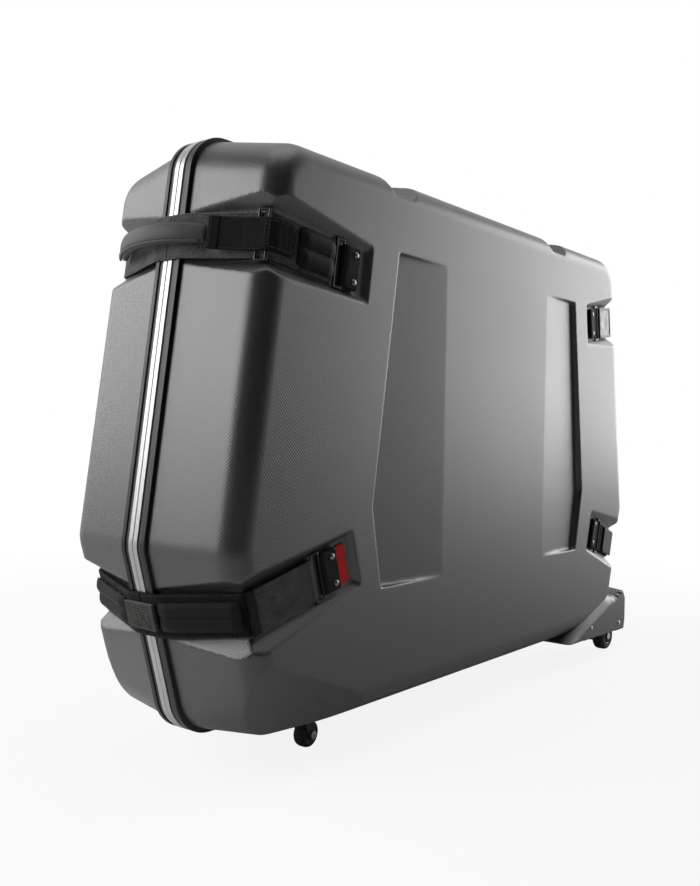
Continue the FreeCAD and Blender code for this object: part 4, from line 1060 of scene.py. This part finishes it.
roll = softened("rollHandle", cadCopy("upper_handle"), clothForm["voxel"], clothForm["rounding"])
heldLow, heldHigh = rollForm["held"]
inflate(roll, lambda p: (p[:, 1] < heldLow) | (p[:, 1] > heldHigh), rollForm["cap"],
        clothForm["rollPressure"])
refined(roll)
arc = np.array(arcThrough(rollForm["ends"][0], rollForm["middle"], rollForm["ends"][1], 60)[2:-2])
upperEdge = strapEdges["upper"]


def besideRoll(forward, height):
    tangent = unit(np.gradient(arc, axis=0))
    plan = arc + np.stack([-np.abs(tangent[:, 1]), np.sign(tangent[:, 1]) * tangent[:, 0]], axis=1) * forward
    return (np.array(upperEdge["origin"]) + plan[:, :1] * np.array(upperEdge["inward"])
            + plan[:, 1:] * np.array((0, 1, 0)) + height * np.array(upperEdge["along"])) * mm


welt = tube("rollWelt", besideRoll(*rollForm["weltAt"]), rollForm["welt"])
threadLine = stitchRow("rollStitch", lambda q: q, besideRoll(*rollForm["seamAt"]), length=3.2 * mm,
                       gap=1.6 * mm, radius=0.4)
dress(roll, "roll", "right_half", "roll", "upper_handle")
dress(welt, "roll", "right_half", "roll")
dress(threadLine, "paleThread", "right_half", "roll")
for obj in (roll, welt, threadLine):
    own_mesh(obj)
print("pads and roll stuffed")

# casters and rear wheels

# profiles give radius and place along the axle up to the middle of the wheel
casterForm = {
    "place": (-343, -62, 20),
    "tyre": [(12.2, -8.2), (14.5, -8.9), (17, -8.6), (18.9, -7.2), (19.8, -4.4), (20, 0)],
    "hub": [(3.1, -8.8), (5.4, -8.8), (5.8, -8.4), (6.2, -6.4), (9.6, -6.2), (10.2, -8.3), (10.6, -8.7),
            (11.8, -8.7), (12.2, -8.3)],
}
wheelForm = {
    "place": (566, -128, 29),
    "tyre": [(17.2, -11.8), (20.5, -12.9), (24.5, -12.4), (27.4, -10.2), (28.7, -6.6), (29, 0)],
    "hub": [(4.1, -12.8), (7.4, -12.8), (7.9, -12.3), (8.3, -7.5), (14.2, -7.2), (14.8, -12.0), (15.3, -12.5),
            (16.7, -12.5), (17.2, -12.0)],
    "spokes": 5, "spokeAt": 11.2 * mm, "spoke": (7.6 * mm, 23.0 * mm, 3.4 * mm, 1), "spokeEdge": 0.8 * mm,
}


def bothEnds(half):
    return half + [(r, -h) for r, h in reversed(half) if h]


def wheelPieces(form, name, tyreNode, hubNode, body):
    place = Vector(form["place"]) * mm
    tyre = lathe(name + "Tyre", bothEnds(form["tyre"]), place, (0, 1, 0), 56)
    hub = lathe(name + "Hub", bothEnds(form["hub"]), place, (0, 1, 0), 56)
    spokes = []
    for k in range(form.get("spokes", 0)):
        turn = Matrix.Rotation(2 * math.pi * k / form["spokes"], 4, "Y")
        rib = bmesh.new()
        bmesh.ops.create_cube(rib, size=1.0)
        shift = Matrix.Translation((form["spokeAt"], 0, 0))
        bmesh.ops.transform(rib, matrix=Matrix.Translation(place) @ turn @ shift
                            @ Matrix.Diagonal(form["spoke"]), verts=rib.verts)
        bmesh.ops.bevel(rib, geom=rib.edges[:], offset=form["spokeEdge"], segments=2, affect="EDGES")
        spokes.append(fromBmesh("spoke", rib))
    if spokes:
        hub = joined(name + "Hub", [hub] + spokes)
    for obj, look, slot, node in ((tyre, "tyre", "wheel_tyre", tyreNode), (hub, "hub", "hub", hubNode)):
        dressPair(obj, "left" + obj.name[0].upper() + obj.name[1:], look, slot, node, body, angle=35)


wheelPieces(casterForm, "caster", "caster_tyre", "caster_hub", "caster_wheel")
wheelPieces(wheelForm, "rearWheel", "wheel_tyre", "wheel_hub", "wheel")

# wheel housings: the CAD cover with its edges eased and a facet falling back to the seam

housingForm = {"voxel": 2.0 * mm, "rounding": 12, "keep": 0.5, "seamFrom": (316, 60), "seamTo": (585, 142),
               "slit": 2.0, "facet": 17.0, "bite": 8.0, "probe": 3, "probes": 40, "probeEnds": (4, 8),
               "probeFrom": -0.4}


def rightHousing():
    obj = softened("rightHousing", cadCopy("right_wheel_housing"), housingForm["voxel"],
                   housingForm["rounding"], housingForm["keep"])
    points = np.array([v.co for v in obj.data.vertices])
    (x0, z0), (x1, z1) = housingForm["seamFrom"], housingForm["seamTo"]
    run = unit(np.array((x1 - x0, z1 - z0), float))
    below = (points[:, 0] / mm - x0) * run[1] - (points[:, 2] / mm - z0) * run[0]
    ahead = (points[:, 0] / mm - x0) * run[0] + (points[:, 2] / mm - z0) * run[1]
    skin = BVHTree.FromBMesh(cadCopy("right_shell"))
    near, far = housingForm["probeEnds"]
    spots = np.linspace(near, np.hypot(x1 - x0, z1 - z0) - far, housingForm["probes"])
    edge = []
    over = housingForm["probe"]
    for along in spots:  # where the shell's skin lies just above the seam
        x, z = (x0 + run[0] * along - run[1] * over) * mm, (z0 + run[1] * along + run[0] * over) * mm
        hit = skin.ray_cast(Vector((x, housingForm["probeFrom"], z)), Vector((0, 1, 0)))[0]
        edge.append(hit.y / mm if hit else (edge[-1] if edge else floorCorner[1]))
    flush = np.interp(ahead, spots, edge) + housingForm["bite"]
    rise = np.clip(1 - below / housingForm["facet"], 0, 1)
    depth = points[:, 1] / mm
    points[:, 1] = np.where(depth < flush, depth + (flush - depth) * rise, depth) * mm
    slit = np.clip(housingForm["slit"] - below, 0, housingForm["slit"]) * mm
    points[:, 0] += slit * run[1]
    points[:, 2] -= slit * run[0]
    print("  housing seam, skin from", round(min(edge), 1), "to", round(max(edge), 1))
    obj.data.vertices.foreach_set("co", points.ravel())
    return obj


dressPair(rightHousing(), "leftHousing", "housing", "housing", "wheel_housing")

# bolts of the caster plates and screws of the housings

boltForm = {
    "profile": [(0, 1.1), (1.5, 1.1), (1.7, 2.4), (2.8, 2.5), (3.6, 2.1), (4.0, 1.2), (4.0, -0.4)],
    "seats": [((-385, -62, 60), (0, 0, -1)), ((-339, -62, 60), (0, 0, -1)),
              ((572, -162, 60), (0, -1, 0)), ((430, -162, 70), (0, -1, 0))],
}
bolts = [lathe("bolt", boltForm["profile"], Vector(place) * mm, axis, 24)
         for place, axis in boltForm["seats"]]
dressPair(joined("rightBolts", bolts), "leftBolts", "bolt", "bolt", "bolts", angle=35)
print("wheels, housings and bolts made")

# lining: foam sheets with soft edges, and two webbing ties

foamForm = {"x": (-326, 366), "z": (112, 780), "y": (125.7, 145.7), "corner": 22.0, "edge": 6.0}


def foamPad():
    bm = bmesh.new()
    bmesh.ops.create_cube(bm, size=1.0)
    low = Vector((foamForm["x"][0], -foamForm["y"][1], foamForm["z"][0])) * mm
    high = Vector((foamForm["x"][1], -foamForm["y"][0], foamForm["z"][1])) * mm
    stretch = Matrix.Translation((low + high) / 2) @ Matrix.Diagonal((*(high - low), 1))
    bmesh.ops.transform(bm, matrix=stretch, verts=bm.verts)
    corners = [e for e in bm.edges if abs(e.verts[0].co.y - e.verts[1].co.y) > 1e-6]
    bmesh.ops.bevel(bm, geom=corners, offset=foamForm["corner"] * mm, segments=8, affect="EDGES")
    front = [e for e in bm.edges if all(v.co.y > high.y - 1e-6 for v in e.verts)]
    bmesh.ops.bevel(bm, geom=front, offset=foamForm["edge"] * mm, segments=4, affect="EDGES")
    return fromBmesh("rightFoam", bm)


for obj in dressPair(foamPad(), "leftFoam", "foam", "foam", "foam", angle=30):
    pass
tieForm = {"at": 150, "width": 38, "low": 150, "length": 600, "face": 125.7, "thick": 2.4}
ties = []
for side in (-1, 1):
    origin = (side * tieForm["at"], -tieForm["face"], tieForm["low"])
    path = {"s": np.array((0, tieForm["length"]), float),
            "line": np.array(((0, 0), (tieForm["length"], 0)), float),
            "out": np.array(((0, 1), (0, 1)), float), "length": tieForm["length"],
            "flip": np.array((1, 1, 1)), "edge": {"origin": origin, "inward": (0, 0, 1), "along": (1, 0, 0)}}
    ties.append(strip("tie", path, (0, tieForm["length"]), tieForm["width"], tieForm["thick"], 0.05,
                      lambda s, w: 0.15 * np.sin(s * 2.2), stepS=0.95, stepW=3))
dress(joined("tieStraps", ties), "webbing", "right_half", "webbing", "tie_straps")
print("lining laid")

# CAD pieces that stay: rings, caster metal, axles and seals

stayForm = {"edge": 0.35 * mm, "weld": 0.005 * mm}
staying = {
    "upper_corner_ring": "wire", "upper_ring": "wire", "lower_ring": "wire", "rear_upper_ring": "wire",
    "rear_lower_ring": "wire", "caster_plate": "caster", "caster_fork": "caster", "caster_axle": "bolt",
    "wheel_axle": "bolt", "seal": "strip",
}
for node, look in staying.items():
    for name in ([node] if node in nodes else ["right_" + node, "left_" + node]):
        obj = nodes[name]
        obj.data.materials.clear()
        obj.data.materials.append(finish[look])
        if look == "caster":
            obj.modifiers.new("weld", "WELD").merge_threshold = stayForm["weld"]
            edge = obj.modifiers.new("edge", "BEVEL")
            edge.width = stayForm["edge"]
            edge.segments = 2
            edge.limit_method = "ANGLE"
print("CAD pieces finished")

# studio: white all round for the eye, softboxes for the plastic

studio = {
    "floor": grey(0.8),
    "lamps": [
        # name, place, aim, width, height, watts
        ("leftBox", (-3.0, 1.6, 1.78), (-0.4, 0.0, 0.65), 1.7, 2.1, 78),
        ("farBox", (-1.3, 2.6, 1.65), (-0.5, 0.0, 0.6), 1.4, 2.0, 26),
        ("rightBox", (3.1, -0.85, 1.28), (0.4, -0.1, 0.55), 1.5, 2.0, 51),
        ("topBox", (-0.4, -0.4, 3.0), (0.0, 0.0, 0.5), 2.4, 1.6, 24),
    ],
    "fill": 0.03,
    "shade": (0.8, 2.2, 0.88, 1.0),  # share of white on the floor: near and far distance, then both shares
    "behind": (0.785, 0.62, 0),  # the way to the backdrop
    "paintedReflection": ((-0.75, 0.28, 0), 0.23, 0.40),  # a floor patch by the front end that glows white only in reflections, a painted reflection: middle, full and fading radius
}


def addLamp(name, place, aim, width, height, watts):
    data = bpy.data.lights.new(name, "AREA")
    data.shape = "RECTANGLE"
    data.size = width
    data.size_y = height
    data.energy = watts
    lamp = bpy.data.objects.new(name, data)
    lamp.location = place
    lamp.rotation_euler = (Vector(aim) - Vector(place)).to_track_quat("-Z", "Y").to_euler()
    lamp.visible_camera = False
    scene.collection.objects.link(lamp)


def eased(tree, value, low, high, first=0.0, last=1.0):
    stops = {"Value": value, 1: low, 2: high, 3: first, 4: last}
    return put(tree, "MapRange", stops, interpolation_type="SMOOTHSTEP").outputs[0]


def seenWhite(tree, point, fade):
    # white to the eye and through clear pieces, and in gloss where the backdrop is
    rays = put(tree, "LightPath").outputs
    ahead = put(tree, "VectorMath", {0: point, 1: studio["behind"]}, operation="DOT_PRODUCT").outputs["Value"]
    gloss = calc(tree, "MULTIPLY", rays["Is Glossy Ray"], eased(tree, ahead, *fade))
    return calc(tree, "MAXIMUM", gloss,
                calc(tree, "MAXIMUM", rays["Is Camera Ray"], rays["Is Transmission Ray"]))


def addFloor():
    bm = bmesh.new()
    bmesh.ops.create_circle(bm, cap_ends=True, segments=96, radius=25)
    floor = fromBmesh("studioFloor", bm)
    mat, tree, bsdf = newMaterial("floorPaper")
    setBsdf(bsdf, Base_Color=(*studio["floor"], 1), Roughness=0.9)
    point = objectPoint(tree)
    far = put(tree, "VectorMath", {"Vector": point}, operation="LENGTH").outputs["Value"]
    share = eased(tree, far, *studio["shade"])
    white = put(tree, "Emission", {"Color": (1, 1, 1, 1), "Strength": 1.0}).outputs[0]
    # painted reflection: a floor patch by the front end glows white to glossy rays only
    middle, full, fading = studio["paintedReflection"]
    off = put(tree, "VectorMath", {0: point, 1: middle}, operation="DISTANCE").outputs["Value"]
    paintedReflection = eased(tree, off, full, fading, 1.0, 0.0)
    paintedReflection = calc(tree, "MULTIPLY", paintedReflection, put(tree, "LightPath").outputs["Is Glossy Ray"])
    seen = calc(tree, "MAXIMUM", paintedReflection, seenWhite(tree, point, (0.3, 1.5)))
    mixed = put(tree, "MixShader", {0: calc(tree, "MULTIPLY", seen, share), 1: bsdf.outputs[0],
                                    2: white}).outputs[0]
    feed(tree.nodes["Material Output"].inputs["Surface"], mixed)
    floor.data.materials.append(mat)


def addWorld():
    world = bpy.data.worlds.new("studioAir")
    scene.world = world
    world.use_nodes = True
    tree = world.node_tree
    seen = seenWhite(tree, put(tree, "TexCoord").outputs["Generated"], (-0.2, 0.5))
    back = tree.nodes["Background"]
    feed(back.inputs["Strength"], put(tree, "Mix", {0: seen, 2: studio["fill"], 3: 1.0}).outputs[0])
    feed(back.inputs["Color"], (1, 1, 1, 1))


for lampSet in studio["lamps"]:
    addLamp(*lampSet)
addFloor()
addWorld()
scene.view_settings.view_transform = "Standard"
print("studio lit")
